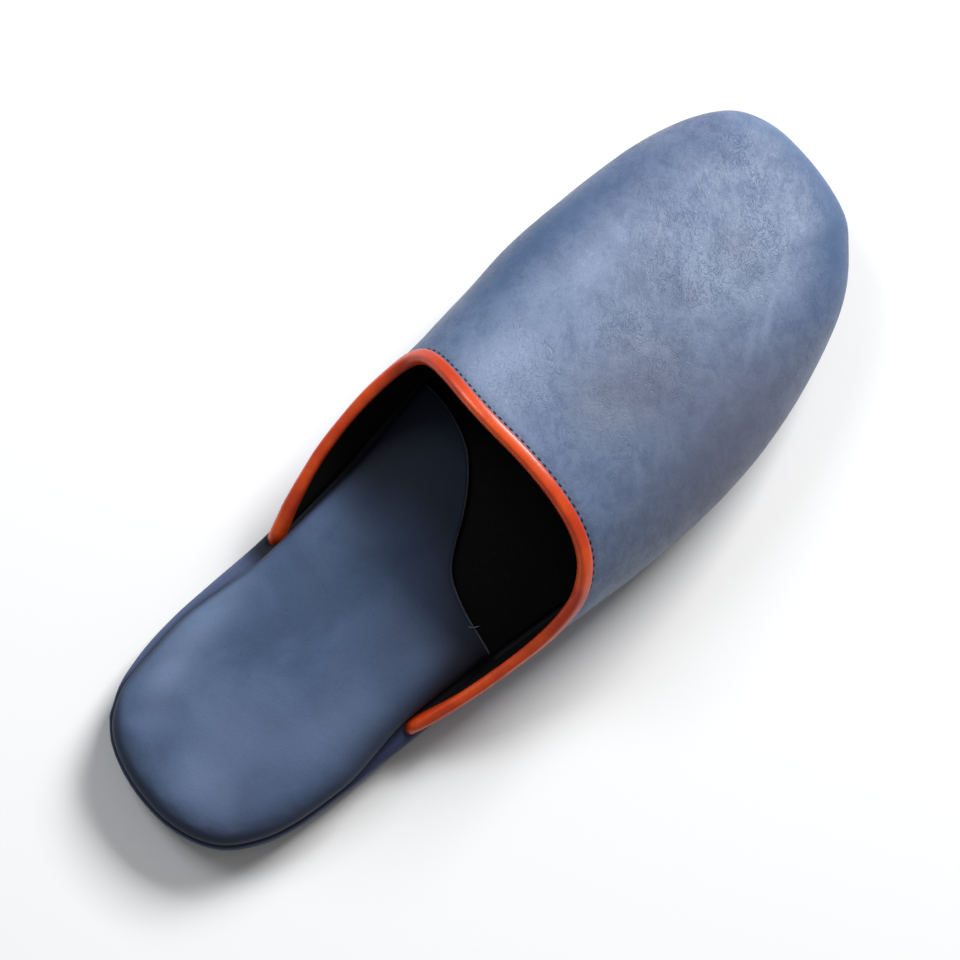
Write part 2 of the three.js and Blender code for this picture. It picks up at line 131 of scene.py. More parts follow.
# The sock's waved front edge: a share of the ball width, and how far along the shoe it lies
PAD_FRONT = np.array([
    (-0.45, 0.533),
    (-0.3, 0.535),
    (-0.2, 0.5285),
    (-0.1, 0.511),
    (0, 0.4715),
    (0.1, 0.4145),
    (0.2, 0.393),
    (0.32, 0.381),
    (0.5, 0.366),
])

# Places along the shoe, as shares of its length
HEEL_FLAT_FROM = 0.06
HEEL_FLAT_TO = 0.3
BALL_FLAT_FROM = 0.56
BALL_FLAT_TO = 0.8
FAN_AT = 0.69
PAD_THINS = (0.3, 0.42)
STRIP_WIDENS = (0.03, 0.13)
STRIP_ENDS = (0.16, 0.27)

# Counts for the meshes and searches, and the distances within which points are merged
COLLAR_HALVINGS = 40
RIM_POINTS = 600
TUCK_ROWS = 10
CROWN_ROWS = 74
CROWN_CROWDING = 1.15
REAR_COLUMNS = 52
FAN_COLUMNS = 150
SOLE_STATIONS = 150
FOOTBED_STATIONS = 110
OUTSOLE_ROUND_RINGS = 5
WRAP_ROUND_RINGS = 6
BINDING_ROUND_STEPS = 17
STITCH_RINGS = 5
STITCH_SIDES = 6
FRAY_POINTS = 40
FRAY_SIDES = 7
PAD_ACROSS = 46
PAD_ALONG = 78
MERGE = 0.01 * MM
UPPER_MERGE = 0.02 * MM
# Half the step along the outline from which its direction is taken
WAY_STEP = 0.004
# How far round the outline from the toe the search for the sock's rim starts
RIM_FROM = 0.4

# Upper: how far its foot sinks into the wrap, so that no light comes in under it, and the low
# lumps of its skin, each with a height, a size and a seed
FOOT_SINK = 0.9 * MM
UPPER_LUMPS = ((0.2 * MM, 18 * MM, 3), (0.07 * MM, 6 * MM, 5))
STITCH_GROOVE = 0.14 * MM
STITCH_GROOVE_WIDTH = 0.9 * MM

# Binding: how far each end runs on and sinks into the sole, in millimetres, and its share of the
# width there. The strip is wider by BINDING_SPREAD near its ends, and its width waves a little.
BINDING_ENDS = np.array([(6, 5, 0.2), (4.6, 3, 0.5), (3, 1.4, 0.78), (1.5, 0.4, 0.95)])
BINDING_SPREAD = 0.25
BINDING_SPREADS = (8 * MM, 22 * MM)
# The section of each leg past its round fold: a share of the leg, and a share of the fold's radius
BINDING_LEG_BULGES = ((1, 0.8), (0.72, 0.94))

# Stitches: how far the middle rises and the whole is sunk, the share of its height that is left,
# and the bare length at each end of the row
STITCH_RISE = 0.1 * MM
STITCH_SUNK = 0.05 * MM
STITCH_FLATNESS = 0.7
STITCH_MARGIN = 3 * MM

# Wrap: its belly, the insets of its flat top, the seam at the medial heel and its lumps
WRAP_BELLY = 0.15 * MM
WRAP_TOP_INSETS = (1.6, 2.2, 2.8, 3.4)
WRAP_SEAM_WAY = -0.871
WRAP_SEAM_HEIGHT = 0.3 * MM
WRAP_SEAM_WIDTH = 1.6 * MM
WRAP_LUMPS = (0.12 * MM, 9 * MM, 11)
FOOTBED_ROUND = 0.3 * MM

# Sock: the share of its rim on each side of the heel that its rear row of points takes, how
# crowded the points are at its edges, the share of its thickness where its rim is widest, its low
# lumps, its puff and the margins held in it, and how far from the rim dents and lumps come in
HEEL_ARC_SHARE = 0.13
CROWDED_ACROSS = 0.75
CROWDED_ALONG = 0.55
PAD_WIDEST_SHARE = 0.35
SOCK_LUMPS = (0.16 * MM, 13 * MM, 21)
PUFF_FRAMES = 16
PUFF_PRESSURE = 3.5
PUFF_CAP = 0.9 * MM
HELD_RIM = 2.4 * MM
HELD_FRONT = 2.5 * MM
DENTS_IN = (3 * MM, 10 * MM)

# The frayed thread at the sock's front edge: shares of the ball width and length, and a height
# over the sock in millimetres
THREAD_WIDTH = 0.36 * MM
EDGE_FRAY = [
    (0.27, 0.3785, 0), (0.278, 0.3798, 0.3), (0.286, 0.3826, 0.5), (0.29, 0.3858, 0.45),
    (0.2935, 0.3875, 0.3),
]

# Screen colours
UPPER_DEEP = (72, 92, 126)
UPPER_MID = (83, 102, 131)
UPPER_WARM = (82, 87, 112)
# A lighter tone of the leather, also its painted highlight, and the bright flecks in that highlight
UPPER_LIGHT = (132, 147, 174)
UPPER_FLECK = (150, 166, 192)
# Also the painted shade in the wrinkles, beside the sole line and beside the binding
UPPER_DARK = (42, 50, 76)
# Painted shade tones: darker blue for the steep medial flank and the toe, greyer for the lateral side
UPPER_SHADE = (46, 74, 112)
UPPER_GREY_SHADE = (82, 84, 100)
SOCK_EDGE = (104, 108, 120)
STITCH_THREAD = (52, 62, 90)
FRAY_FIBRE = (120, 122, 130)
CUT_EDGE = (92, 96, 104)
# Deep, mid, warm, dark, wear-and-highlight and painted shade tones of the plain leathers; the dark tone
# also gives their painted shade at rims and crevices
SOCK_TONES = ((60, 79, 108), (74, 94, 125), (66, 73, 100), (24, 28, 44), (124, 142, 174), (14, 15, 24))
WRAP_TONES = ((50, 60, 90), (62, 76, 108), (56, 58, 82), (20, 28, 58), (100, 114, 146), (5, 5, 7))
# Deep, bright, edge and dark tones of the binding
BINDING_TONES = ((196, 56, 10), (230, 84, 24), (140, 28, 10), (160, 40, 14))
# Dark and light tones of the cloths and of the suede
CLOTH_TONES = ((8, 7, 6), (26, 24, 22))
LINING_TONES = ((7, 6, 5), (24, 22, 20))
SUEDE_TONES = ((38, 32, 28), (66, 56, 49))

# The way the wrinkles run across the vamp, in degrees
WRINKLE_TURN = -45

# Soft creases of the vamp: a line in shares of ball width and length, a height, and a half width
# in millimetres. The stroke tables of wear, shade and grey below, and the sock's table of wear, hold a
# strength in the height's place.
CREASES = [
    ([(0.35, 0.642), (0.235, 0.704), (0.135, 0.745)], -0.2 * MM, 2),
    ([(0.38, 0.66), (0.275, 0.715), (0.175, 0.755)], 0.12 * MM, 2.4),
    ([(0.338, 0.78), (0.249, 0.825), (0.177, 0.861)], 0.16 * MM, 2.2),
    ([(0.247, 0.76), (0.09, 0.806), (-0.058, 0.87)], -0.14 * MM, 2.2),
    ([(0.224, 0.725), (0.063, 0.771), (-0.063, 0.829)], 0.12 * MM, 2.6),
    ([(0.378, 0.602), (0.251, 0.632), (0.155, 0.675)], -0.16 * MM, 2.2),
    ([(0.482, 0.665), (0.453, 0.706), (0.381, 0.757)], -0.16 * MM, 2.4),
    ([(0.168, 0.615), (0.025, 0.653), (-0.075, 0.694)], -0.14 * MM, 2.2),
    ([(0.365, 0.828), (0.244, 0.862), (0.147, 0.905)], -0.12 * MM, 2),
    ([(0.158, 0.701), (0.036, 0.735), (-0.079, 0.797)], -0.12 * MM, 2),
    ([(-0.33, 0.6), (-0.36, 0.66), (-0.37, 0.73)], -0.14 * MM, 3),
]

# Where the vamp is lighter with wear and painted highlight, where it is darker blue with painted shade,
# and where it is greyer with painted shade
WEAR_AND_HIGHLIGHT_STROKES = [
    ([(-0.175, 0.554), (-0.195, 0.6), (-0.217, 0.695), (-0.204, 0.791), (-0.154, 0.874)], 0.5, 8),
    ([(-0.24, 0.535), (-0.2, 0.57), (-0.17, 0.64)], 0.7, 7),
    ([(-0.1, 0.53), (-0.1, 0.58), (-0.09, 0.64)], 0.4, 8),
    ([(-0.21, 0.7), (-0.2, 0.73), (-0.19, 0.76)], 0.4, 6),
    ([(-0.264, 0.561), (-0.069, 0.554), (0.149, 0.539)], 0.4, 4),
    ([(0.1, 0.9), (0.2, 0.88), (0.28, 0.83)], 0.2, 6),
    ([(0.219, 0.856), (0.273, 0.824), (0.338, 0.789)], 0.7, 1.3),
    ([(0.148, 0.903), (0.177, 0.884), (0.215, 0.865)], 0.5, 1.3),
    ([(0.222, 0.826), (0.283, 0.796), (0.331, 0.77)], 0.6, 1.2),
    ([(-0.283, 0.78), (-0.235, 0.781), (-0.181, 0.773)], 0.5, 2.2),
]
PAINTED_SHADE_STROKES = [
    ([(-0.38, 0.5), (-0.395, 0.62), (-0.4, 0.72), (-0.385, 0.82), (-0.34, 0.9)], 1.0, 6.5),
    ([(-0.3, 0.9), (-0.12, 0.965), (0.1, 0.97), (0.3, 0.92), (0.42, 0.83)], 0.9, 7),
    ([(-0.2, 0.87), (0.0, 0.91), (0.18, 0.89)], 0.4, 13),
]
GREY_AND_SHADE_STROKES = [
    ([(0.42, 0.5), (0.47, 0.6), (0.47, 0.7), (0.42, 0.8), (0.33, 0.88)], 1.0, 16),
    ([(0.02, 0.58), (0.14, 0.66), (0.18, 0.76)], 0.75, 14),
    ([(-0.02, 0.84), (0.05, 0.86), (0.12, 0.84)], 0.35, 7),
]

# The edge of the vamp's shadow painted on the sock, in shares of the ball width and of the length,
# and how that painted shadow darkens across it
SHADE_LINE = np.array([
    (-0.5, 0.35), (-0.314, 0.357), (-0.146, 0.38), (0.015, 0.376), (0.159, 0.346), (0.287, 0.3),
    (0.348, 0.262), (0.5, 0.21),
])
SHADE_DEPTH = 0.88
SHADE_WAY = (-5 * MM, 20 * MM)

# Where the sock is lighter with wear and painted light
SOCK_WEAR_AND_LIGHT = [
    ([(-0.16, 0.05), (-0.25, 0.1), (-0.29, 0.17), (-0.32, 0.26)], 0.9, 6),
    ([(-0.08, 0.06), (0.06, 0.055), (0.17, 0.08)], 0.7, 8),
    ([(-0.22, 0.16), (-0.05, 0.12), (0.16, 0.16)], 0.4, 16),
    ([(0.16, 0.12), (0.2, 0.2), (0.22, 0.28)], 0.35, 7),
]
# Where the heel has pressed the sock down, and the low ridge ahead of it
SOCK_DENTS = [
    ([(-0.02, 0.1), (0.0, 0.17), (0.03, 0.24)], -0.5 * MM, 17),
    ([(-0.25, 0.36), (0.0, 0.33), (0.22, 0.31)], 0.12 * MM, 6),
]

# Camera, floor and lights
CAMERA_AZIMUTH = math.radians(45.36)
CAMERA_ELEVATION = math.radians(80)
CAMERA_DISTANCE = 1.3
FRAME_WIDTH = 0.278
SENSOR_WIDTH = 36
LOOK_AT = Vector((-0.0049, -0.0008, 0.02))
FLOOR_REACH = 8.0
FLOOR_HEIGHT = -0.02 * MM
FLOOR_TONES = (0.88, 0.9)
WORLD_LIGHT = 0.2


def smoothstep(value, low, high):
    t = np.clip((np.asarray(value, float) - low) / (high - low), 0, 1)
    return t * t * (3 - 2 * t)


def lerp(a, b, t):
    return a + (b - a) * t


def unit(vectors):
    return vectors / np.linalg.norm(vectors, axis=-1, keepdims=True)


def bell(distance, width):
    return np.exp(-((distance / width) ** 2))


def run_along(line):
    """How far along a line each of its points lies."""
    return np.concatenate([[0], np.cumsum(np.linalg.norm(np.diff(line, axis=0), axis=1))])


def spans(rows):
    """For each row the next row less the one before. A row at an end stands in for itself."""
    places = np.arange(len(rows))
    return rows[np.minimum(places + 1, len(rows) - 1)] - rows[np.maximum(places - 1, 0)]


def smooth_curve(keys, values):
    """A smooth curve through values at keys, the same one as in the CAD model."""
    last = len(keys) - 1
    slopes = spans(values) / spans(keys)

    def curve(key):
        inside = np.clip(key, keys[0], keys[-1])
        i = np.clip(np.searchsorted(keys, inside, side="left") - 1, 0, last - 1)
        span = keys[i + 1] - keys[i]
        t = (inside - keys[i]) / span
        return (
            (1 + 2 * t) * (1 - t) ** 2 * values[i]
            + t * (1 - t) ** 2 * span * slopes[i]
            + t**2 * (3 - 2 * t) * values[i + 1]
            + t**2 * (t - 1) * span * slopes[i + 1]
        )

    return curve


def turn_of(at):
    return np.arccos(1 - 2 * np.asarray(at, float)) / math.pi


def place_of(turn):
    return (1 - np.cos(math.pi * turn)) / 2


def curves_of(keys, table):
    """A smooth curve for each column of a table after its first."""
    return [smooth_curve(keys, column) for column in table.T[1:]]


MEDIAL, LATERAL, MEDIAL_TUCK, LATERAL_TUCK = curves_of(turn_of(OUTLINE[:, 0]), OUTLINE)
ROOF, GIRTH, RIDGE, FULLNESS = curves_of(SECTIONS[:, 0], SECTIONS)
COLLAR_MEDIAL, COLLAR_LATERAL = curves_of(COLLAR[:, 0], COLLAR)
PAD_FRONT_CURVE = smooth_curve(*PAD_FRONT.T)


def wrap_way(way):
    """Round the outline: -1 heel tip, medial below 0, 0 toe tip, lateral above 0, 1 heel tip."""
    return np.where(way > 1, way - 2, np.where(way < -1, way + 2, way))


def outline_point(way):
    wrapped = wrap_way(np.asarray(way, float))
    turn = 1 - np.abs(wrapped)
    x = BALL_WIDTH * np.where(wrapped < 0, MEDIAL(turn), LATERAL(turn))
    return np.stack([x, SHOE_LENGTH * place_of(turn)], -1)


def inset_point(way, inset):
    along = unit(outline_point(way + WAY_STEP) - outline_point(way - WAY_STEP))
    normal = np.stack([-along[..., 1], along[..., 0]], -1)
    return outline_point(way) - normal * np.asarray(inset)[..., None]


def tuck_at(way):
    wrapped = wrap_way(np.asarray(way, float))
    turn = 1 - np.abs(wrapped)
    return OVERHANG * np.where(wrapped < 0, MEDIAL_TUCK(turn), LATERAL_TUCK(turn))


def underside_at(y):
    at = y / SHOE_LENGTH
    heel = HEEL_LIFT * (1 - smoothstep(at, 0, HEEL_FLAT_FROM))
    share = np.clip((at - HEEL_FLAT_TO) / (BALL_FLAT_FROM - HEEL_FLAT_TO), 0, 1)
    toe = np.maximum(0, (at - BALL_FLAT_TO) / (1 - BALL_FLAT_TO))
    return heel + ARCH_RISE * np.sin(math.pi * share) ** 2 + TOE_SPRING * toe**2


def midsole_thickness_at(y):
    share = smoothstep(y / SHOE_LENGTH, HEEL_FLAT_TO, BALL_FLAT_FROM)
    return lerp(MIDSOLE_HEEL_THICKNESS, MIDSOLE_TOE_THICKNESS, share)


def midsole_bottom_at(y):
    return underside_at(y) + OUTSOLE_THICKNESS + SEAT_GAP


def midsole_top_at(y):
    return midsole_bottom_at(y) + midsole_thickness_at(y)


def midsole_middle_at(y):
    return (midsole_bottom_at(y) + midsole_top_at(y)) / 2


def upper_foot_at(y):
    return midsole_top_at(y) + SEAT_GAP


def footbed_top_at(y):
    return upper_foot_at(y) + FOOTBED_THICKNESS


def pad_bottom_at(y):
    return footbed_top_at(y) + SEAT_GAP


OUTLINE_XS = outline_point(np.linspace(-1, 1, 2001))[:, 0]
ORIGIN = np.array([(OUTLINE_XS.min() + OUTLINE_XS.max()) / 2, SHOE_LENGTH / 2, 0])


def place(name, data):
    """A new object of the scene with the given data."""
    found = bpy.data.objects.new(name, data)
    bpy.context.scene.collection.objects.link(found)
    return found


def make_object(name, points, faces, materials, slots=None, merge=0.0):
    """A smooth mesh object from points in the part's own frame."""
    mesh = bpy.data.meshes.new(name)
    mesh.from_pydata((points - ORIGIN).tolist(), [], faces)
    for material in materials:
        mesh.materials.append(material)
    mesh.polygons.foreach_set("use_smooth", [True] * len(mesh.polygons))
    if slots is not None:
        mesh.polygons.foreach_set("material_index", np.asarray(slots, np.int32))
    work = bmesh.new()
    work.from_mesh(mesh)
    if merge:
        bmesh.ops.remove_doubles(work, verts=work.verts, dist=merge)
        bmesh.ops.dissolve_degenerate(work, edges=work.edges, dist=merge)
    bmesh.ops.recalc_face_normals(work, faces=work.faces)
    work.to_mesh(mesh)
    work.free()
    mesh.update()
    return place(name, mesh)


def set_attribute(obj, key, values):
    data = obj.data.attributes.new(key, "FLOAT", "POINT").data
    data.foreach_set("value", np.asarray(values, np.float32))


def read_vectors(items, key):
    found = np.zeros(len(items) * 3, np.float32)
    items.foreach_get(key, found)
    return found.reshape(-1, 3).astype(float)


def vertices_of(obj):
    return read_vectors(obj.data.vertices, "co") + ORIGIN


def normals_of(obj):
    return read_vectors(obj.data.vertices, "normal")


def move_vertices(obj, points):
    obj.data.vertices.foreach_set("co", (points - ORIGIN).astype(np.float32).ravel())
    obj.data.update()


def grid_faces(rows, columns, first=0, closed=False):
    """Quads between rows of points numbered row by row from `first`."""
    r = np.arange(rows - 1)[:, None]
    c = np.arange(columns if closed else columns - 1)[None, :]
    a = first + r * columns + c
    b = first + r * columns + (c + 1) % columns
    return np.stack([a, b, b + columns, a + columns], -1).reshape(-1, 4).tolist()


def turns_round(sides):
    """The angles of a ring of points, as a column."""
    return (2 * math.pi * np.arange(sides) / sides)[:, None]


def tube_faces(rings, sides, first=0, turned=False):
    """Faces of a tube of rings with capped ends. `turned` is for rings that run the other way."""
    last = first + (rings - 1) * sides
    caps = [list(range(start, start + sides)) for start in (first, last)]
    caps[turned].reverse()
    return grid_faces(rings, sides, first, closed=True) + caps


def distance_to_line(points, line):
    """For each point its distance to a line of points, and how far along the line that is."""
    starts, ends = line[:-1], line[1:]
    lengths = np.linalg.norm(ends - starts, axis=1)
    before = np.concatenate([[0], np.cumsum(lengths)[:-1]])
    best = np.full(len(points), np.inf)
    along = np.zeros(len(points))
    for start, end, length, run in zip(starts, ends, lengths, before):
        direction = (end - start) / length
        t = np.clip((points - start) @ direction, 0, length)
        gap = np.linalg.norm(points - start - t[:, None] * direction, axis=1)
        nearer = gap < best
        best[nearer] = gap[nearer]
        along[nearer] = run + t[nearer]
    return best, along


def rounded_line(points, count=24):
    """A smooth line of `count` points through the given ones."""
    points = np.asarray(points, float)
    steps = np.linspace(0, 1, len(points))
    at = np.linspace(0, 1, count)
    return np.stack([smooth_curve(steps, points[:, c])(at) for c in range(points.shape[1])], -1)


def strokes_at(points, strokes):
    """Soft marks on the plan, from one of the tables of lines with a height and a half width."""
    total = np.zeros(len(points))
    for line, height, width in strokes:
        plan = rounded_line(np.asarray(line) * (BALL_WIDTH, SHOE_LENGTH))
        gap, along = distance_to_line(points[:, :2], plan)
        whole = np.linalg.norm(np.diff(plan, axis=0), axis=1).sum()
        fade = np.sin(math.pi * np.clip(along / whole, 0.02, 0.98)) ** 0.8
        total += height * bell(gap, width * MM) * fade
    return total


def soft_noise(points, size, seed):
    """Smooth noise from -1 to 1 with lumps of about `size`."""
    shift = Vector((seed * 7.31, seed * 3.17, seed * 5.03))
    return np.array([noise.noise(Vector(p) / size + shift) for p in points])


def lumps_at(points, height, size, seed):
    return height * soft_noise(points, size, seed)


def values_at(where, run, values):
    """Rows of values at given places along a line, where `run` is each row's own place."""
    return np.stack([np.interp(where, run, column) for column in values.T], -1)


def srgb(red, green, blue):
    """Linear colour from the 0-255 values of a screen colour."""
    values = np.array([red, green, blue]) / 255
    linear = np.where(values <= 0.04045, values / 12.92, ((values + 0.055) / 1.055) ** 2.4)
    return (*linear.tolist(), 1.0)


class Nodes:
    """A node tree that is written as calls."""

    def __init__(self, name):
        self.material = bpy.data.materials.new(name)
        self.material.use_nodes = True
        self.tree = self.material.node_tree
        self.shader = self.tree.nodes["Principled BSDF"]
        self.coordinates = self.new("TexCoord").outputs["Object"]

    def new(self, kind):
        return self.tree.nodes.new("ShaderNode" + kind)

    def link(self, source, target):
        self.tree.links.new(source, target)

    def give(self, socket, value):
        """Sets a socket to a node's output, a number, a linear colour or a screen colour."""
        if isinstance(value, bpy.types.NodeSocket):
            self.link(value, socket)
        elif isinstance(value, tuple) and len(value) == 3:
            socket.default_value = srgb(*value)
        else:
            socket.default_value = value

    def attribute(self, name):
        node = self.new("Attribute")
        node.attribute_name = name
        return node.outputs["Fac"]

    def math(self, operation, a, b=0.0):
        node = self.new("Math")
        node.operation = operation
        self.give(node.inputs[0], a)
        self.give(node.inputs[1], b)
        return node.outputs[0]

    def scaled(self, scale, turn=0.0):
        """Coordinates turned about Z, in degrees, and then scaled."""
        source = self.coordinates
        for key, value in (("Rotation", (0, 0, math.radians(turn))), ("Scale", scale)):
            node = self.new("Mapping")
            self.link(source, node.inputs["Vector"])
            node.inputs[key].default_value = value
            source = node.outputs[0]
        return source

    def noise(self, scale, detail=3.0, roughness=0.5, vector=None, distortion=0.0):
        node = self.new("TexNoise")
        self.link(vector or self.coordinates, node.inputs["Vector"])
        given = {"Scale": scale, "Detail": detail, "Roughness": roughness, "Distortion": distortion}
        for key, value in given.items():
            node.inputs[key].default_value = value
        return node.outputs["Fac"]

    def cells(self, scale):
        node = self.new("TexVoronoi")
        self.link(self.coordinates, node.inputs["Vector"])
        node.inputs["Scale"].default_value = scale
        return node.outputs["Distance"]

    def spread(self, value, low, high, to_low=0.0, to_high=1.0, smooth=True):
        node = self.new("MapRange")
        node.interpolation_type = "SMOOTHSTEP" if smooth else "LINEAR"
        self.link(value, node.inputs["Value"])
        for socket, given in zip(node.inputs[1:5], (low, high, to_low, to_high)):
            socket.default_value = given
        return node.outputs[0]

    def blend(self, share, first, second):
        node = self.new("Mix")
        node.data_type = "RGBA"
        self.give(node.inputs["Factor"], share)
        self.give(node.inputs[6], first)
        self.give(node.inputs[7], second)
        return node.outputs[2]

    def tint(self, colour, mask, share, tone):
        """The colour with a share of a screen colour over it where the mask is 1."""
        return self.blend(self.math("MULTIPLY", mask, share), colour, tone)

    def bump(self, height, distance, strength=1.0, under=None):
        node = self.new("Bump")
        node.inputs["Strength"].default_value = strength
        node.inputs["Distance"].default_value = distance
        self.link(height, node.inputs["Height"])
        if under is not None:
            self.link(under, node.inputs["Normal"])
        return node.outputs[0]

    def finish(self, colour, roughness, normal=None, **sockets):
        self.give(self.shader.inputs["Base Color"], colour)
        self.give(self.shader.inputs["Roughness"], roughness)
        if normal is not None:
            self.link(normal, self.shader.inputs["Normal"])
        for key, value in sockets.items():
            self.shader.inputs[key.replace("_", " ")].default_value = value
        return self.material


def upper_leather():
    """Soft blue leather: cloudy, with fine slanting wrinkles painted darker as shade, lighter with wear
    and painted highlight, and painted shade along its edges, its toe and its lateral side.
    """
    n = Nodes("upper_leather")
    clouds = n.spread(n.noise(34, 5, 0.6, distortion=0.6), 0.34, 0.66)
    warm = n.spread(n.noise(22, 3, 0.55), 0.42, 0.68)
    mottle = n.spread(n.noise(150, 5, 0.65, distortion=0.8), 0.38, 0.64)
    slant = n.scaled((900, 520, 700), WRINKLE_TURN)
    streaks = n.noise(1, 4, 0.65, slant, 1.4)
    slant_wide = n.scaled((330, 165, 240), WRINKLE_TURN + 6)
    folds = n.noise(1, 2, 0.5, slant_wide, 0.5)
    pores = n.cells(2300)
    colour = n.blend(clouds, UPPER_DEEP, UPPER_MID)
    colour = n.tint(colour, warm, 0.4, UPPER_WARM)
    colour = n.tint(colour, mottle, 0.22, UPPER_LIGHT)
    # Painted highlight with wear over the throat's medial side and along the vamp, with bright flecks in
    # it
    colour = n.tint(colour, n.attribute("wear_and_highlight"), 0.7, UPPER_LIGHT)
    fleck = n.math("MULTIPLY", n.spread(n.noise(560, 4, 0.8), 0.54, 0.68), n.attribute("wear_and_highlight"))
    colour = n.tint(colour, fleck, 0.5, UPPER_FLECK)
    fine = n.spread(n.math("ADD", streaks, n.math("MULTIPLY", folds, 0.6)), 0.6, 1.0)
    colour = n.tint(colour, fine, 0.2, UPPER_LIGHT)
    speckle = n.spread(n.noise(700, 4, 0.7), 0.55, 0.72)
    colour = n.tint(colour, speckle, 0.22, UPPER_DARK)
    winding = n.noise(1, 2, 0.5, n.scaled((400, 250, 300), WRINKLE_TURN), 1.2)
    lines = n.spread(n.math("ABSOLUTE", n.math("SUBTRACT", winding, 0.5)), 0.0, 0.03, 1.0, 0.0)
    wrinkles = n.math("MULTIPLY", lines, n.spread(n.noise(40, 2, 0.5), 0.44, 0.6))
    # Painted shade in the wrinkle lines
    colour = n.tint(colour, wrinkles, 0.3, UPPER_DARK)
    # Painted shade: the darker blue of the steep medial flank and the toe
    colour = n.tint(colour, n.attribute("deep"), 0.85, UPPER_SHADE)
    # Painted grey shade over the lateral side and the middle of the vamp, with a greyer leather tone
    colour = n.tint(colour, n.attribute("grey"), 0.7, UPPER_GREY_SHADE)
    # Painted shade beside the sole line and the binding, with some soiling
    colour = n.tint(colour, n.attribute("dirt_and_shade"), 0.6, UPPER_DARK)
    low = n.bump(folds, 0.26 * MM, 0.5)
    low = n.bump(n.math("SUBTRACT", 1.0, wrinkles), 0.12 * MM, 0.5, low)
    mid = n.bump(streaks, 0.12 * MM, 0.55, low)
    normal = n.bump(pores, 0.05 * MM, 0.5, mid)
    rough = n.spread(n.math("ADD", clouds, fine), 0.2, 1.8, 0.58, 0.46)
    return n.finish(colour, rough, normal,
                    Specular_IOR_Level=0.4, Sheen_Weight=0.05, Sheen_Roughness=0.5)


def plain_leather(name, deep, mid, warm, dark, wear_and_highlight, painted_shade, edge=None):
    """Blue leather without wrinkles, for the sock and the sole's wrap."""
    n = Nodes(name)
    clouds = n.spread(n.noise(30, 5, 0.6, distortion=0.5), 0.34, 0.66)
    patches = n.spread(n.noise(17, 3, 0.5), 0.45, 0.66)
    colour = n.blend(clouds, deep, mid)
    colour = n.tint(colour, patches, 0.45, warm)
    speckle = n.spread(n.noise(650, 4, 0.7), 0.55, 0.75)
    colour = n.tint(colour, speckle, 0.2, dark)
    # Wear with painted highlight; on the wrap a painted highlight along the top of its medial side
    colour = n.tint(colour, n.attribute("wear_and_highlight"), 0.5, wear_and_highlight)
    # Painted shade at the rims and in the crevices, with some soiling
    colour = n.tint(colour, n.attribute("dirt_and_shade"), 0.8, dark)
    # Painted shade: the vamp's shadow over the sock's front, and the shade on the wrap's top inside the
    # walls
    colour = n.tint(colour, n.attribute("painted_shade"), 0.9, painted_shade)
    if edge is not None:
        line = n.spread(n.attribute("front"), 0.35 * MM, 0.85 * MM, 1.0, 0.0)
        colour = n.tint(colour, line, 0.8, edge)
    grain = n.bump(n.noise(420, 4, 0.6), 0.14 * MM, 0.5)
    normal = n.bump(n.cells(1900), 0.05 * MM, 0.55, grain)
    rough = n.spread(clouds, 0, 1, 0.6, 0.7, False)
    return n.finish(colour, rough, normal,
                    Specular_IOR_Level=0.24, Sheen_Weight=0.03, Sheen_Roughness=0.5)


def binding_leather():
    """Glossy orange-red leather, stretched over the edge, with faint cross wrinkles."""
    deep, bright, margin, dark = BINDING_TONES
    n = Nodes("binding_leather")
    across = n.attribute("round")
    along = n.attribute("run")
    cloud = n.spread(n.noise(60, 4, 0.6), 0.35, 0.68)
    colour = n.blend(cloud, deep, bright)
    edge = n.spread(n.math("ABSOLUTE", across), 0.62, 1.0)
    colour = n.tint(colour, edge, 0.7, margin)
    speckle = n.spread(n.noise(900, 3, 0.7), 0.56, 0.75)
    colour = n.tint(colour, speckle, 0.25, dark)
    join = n.new("CombineXYZ")
    n.link(n.math("MULTIPLY", along, 650), join.inputs[0])
    n.link(n.math("MULTIPLY", across, 0.9), join.inputs[1])
    pleats = n.noise(1, 2, 0.5, join.outputs[0], 0.4)
    fold = n.bump(pleats, 0.10 * MM, 0.5)
    normal = n.bump(n.cells(2400), 0.03 * MM, 0.4, fold)
    return n.finish(colour, n.spread(cloud, 0, 1, 0.36, 0.28, False), normal,
                    Specular_IOR_Level=0.5, Coat_Weight=0.15, Coat_Roughness=0.25)


def woven(name, dark, light, pitch):
    """A close black cloth."""
    n = Nodes(name)
    warp = n.new("TexWave")
    weft = n.new("TexWave")
    weft.bands_direction = "Y"
    for node in (warp, weft):
        n.link(n.coordinates, node.inputs["Vector"])
        node.inputs["Scale"].default_value = 0.314 / pitch
        node.inputs["Distortion"].default_value = 0.6
    threads = n.math("MULTIPLY", warp.outputs["Fac"], weft.outputs["Fac"])
    colour = n.blend(threads, dark, light)
    fuzz = n.spread(n.noise(400, 4, 0.7), 0.5, 0.75)
    colour = n.tint(colour, fuzz, 0.4, light)
    return n.finish(colour, 0.92, n.bump(threads, 0.12 * MM, 0.6), Specular_IOR_Level=0.15)


def suede(name, dark, mid):
    """Napped leather underfoot, darker where it has been trodden."""
    n = Nodes(name)
    nap = n.noise(300, 6, 0.75)
    trodden = n.spread(n.noise(26, 4, 0.6), 0.4, 0.65)
    colour = n.blend(n.spread(nap, 0.35, 0.7), dark, mid)
    colour = n.tint(colour, trodden, 0.5, dark)
    return n.finish(colour, 0.95, n.bump(nap, 0.2 * MM, 0.7), Specular_IOR_Level=0.2, Sheen_Weight=0.2)


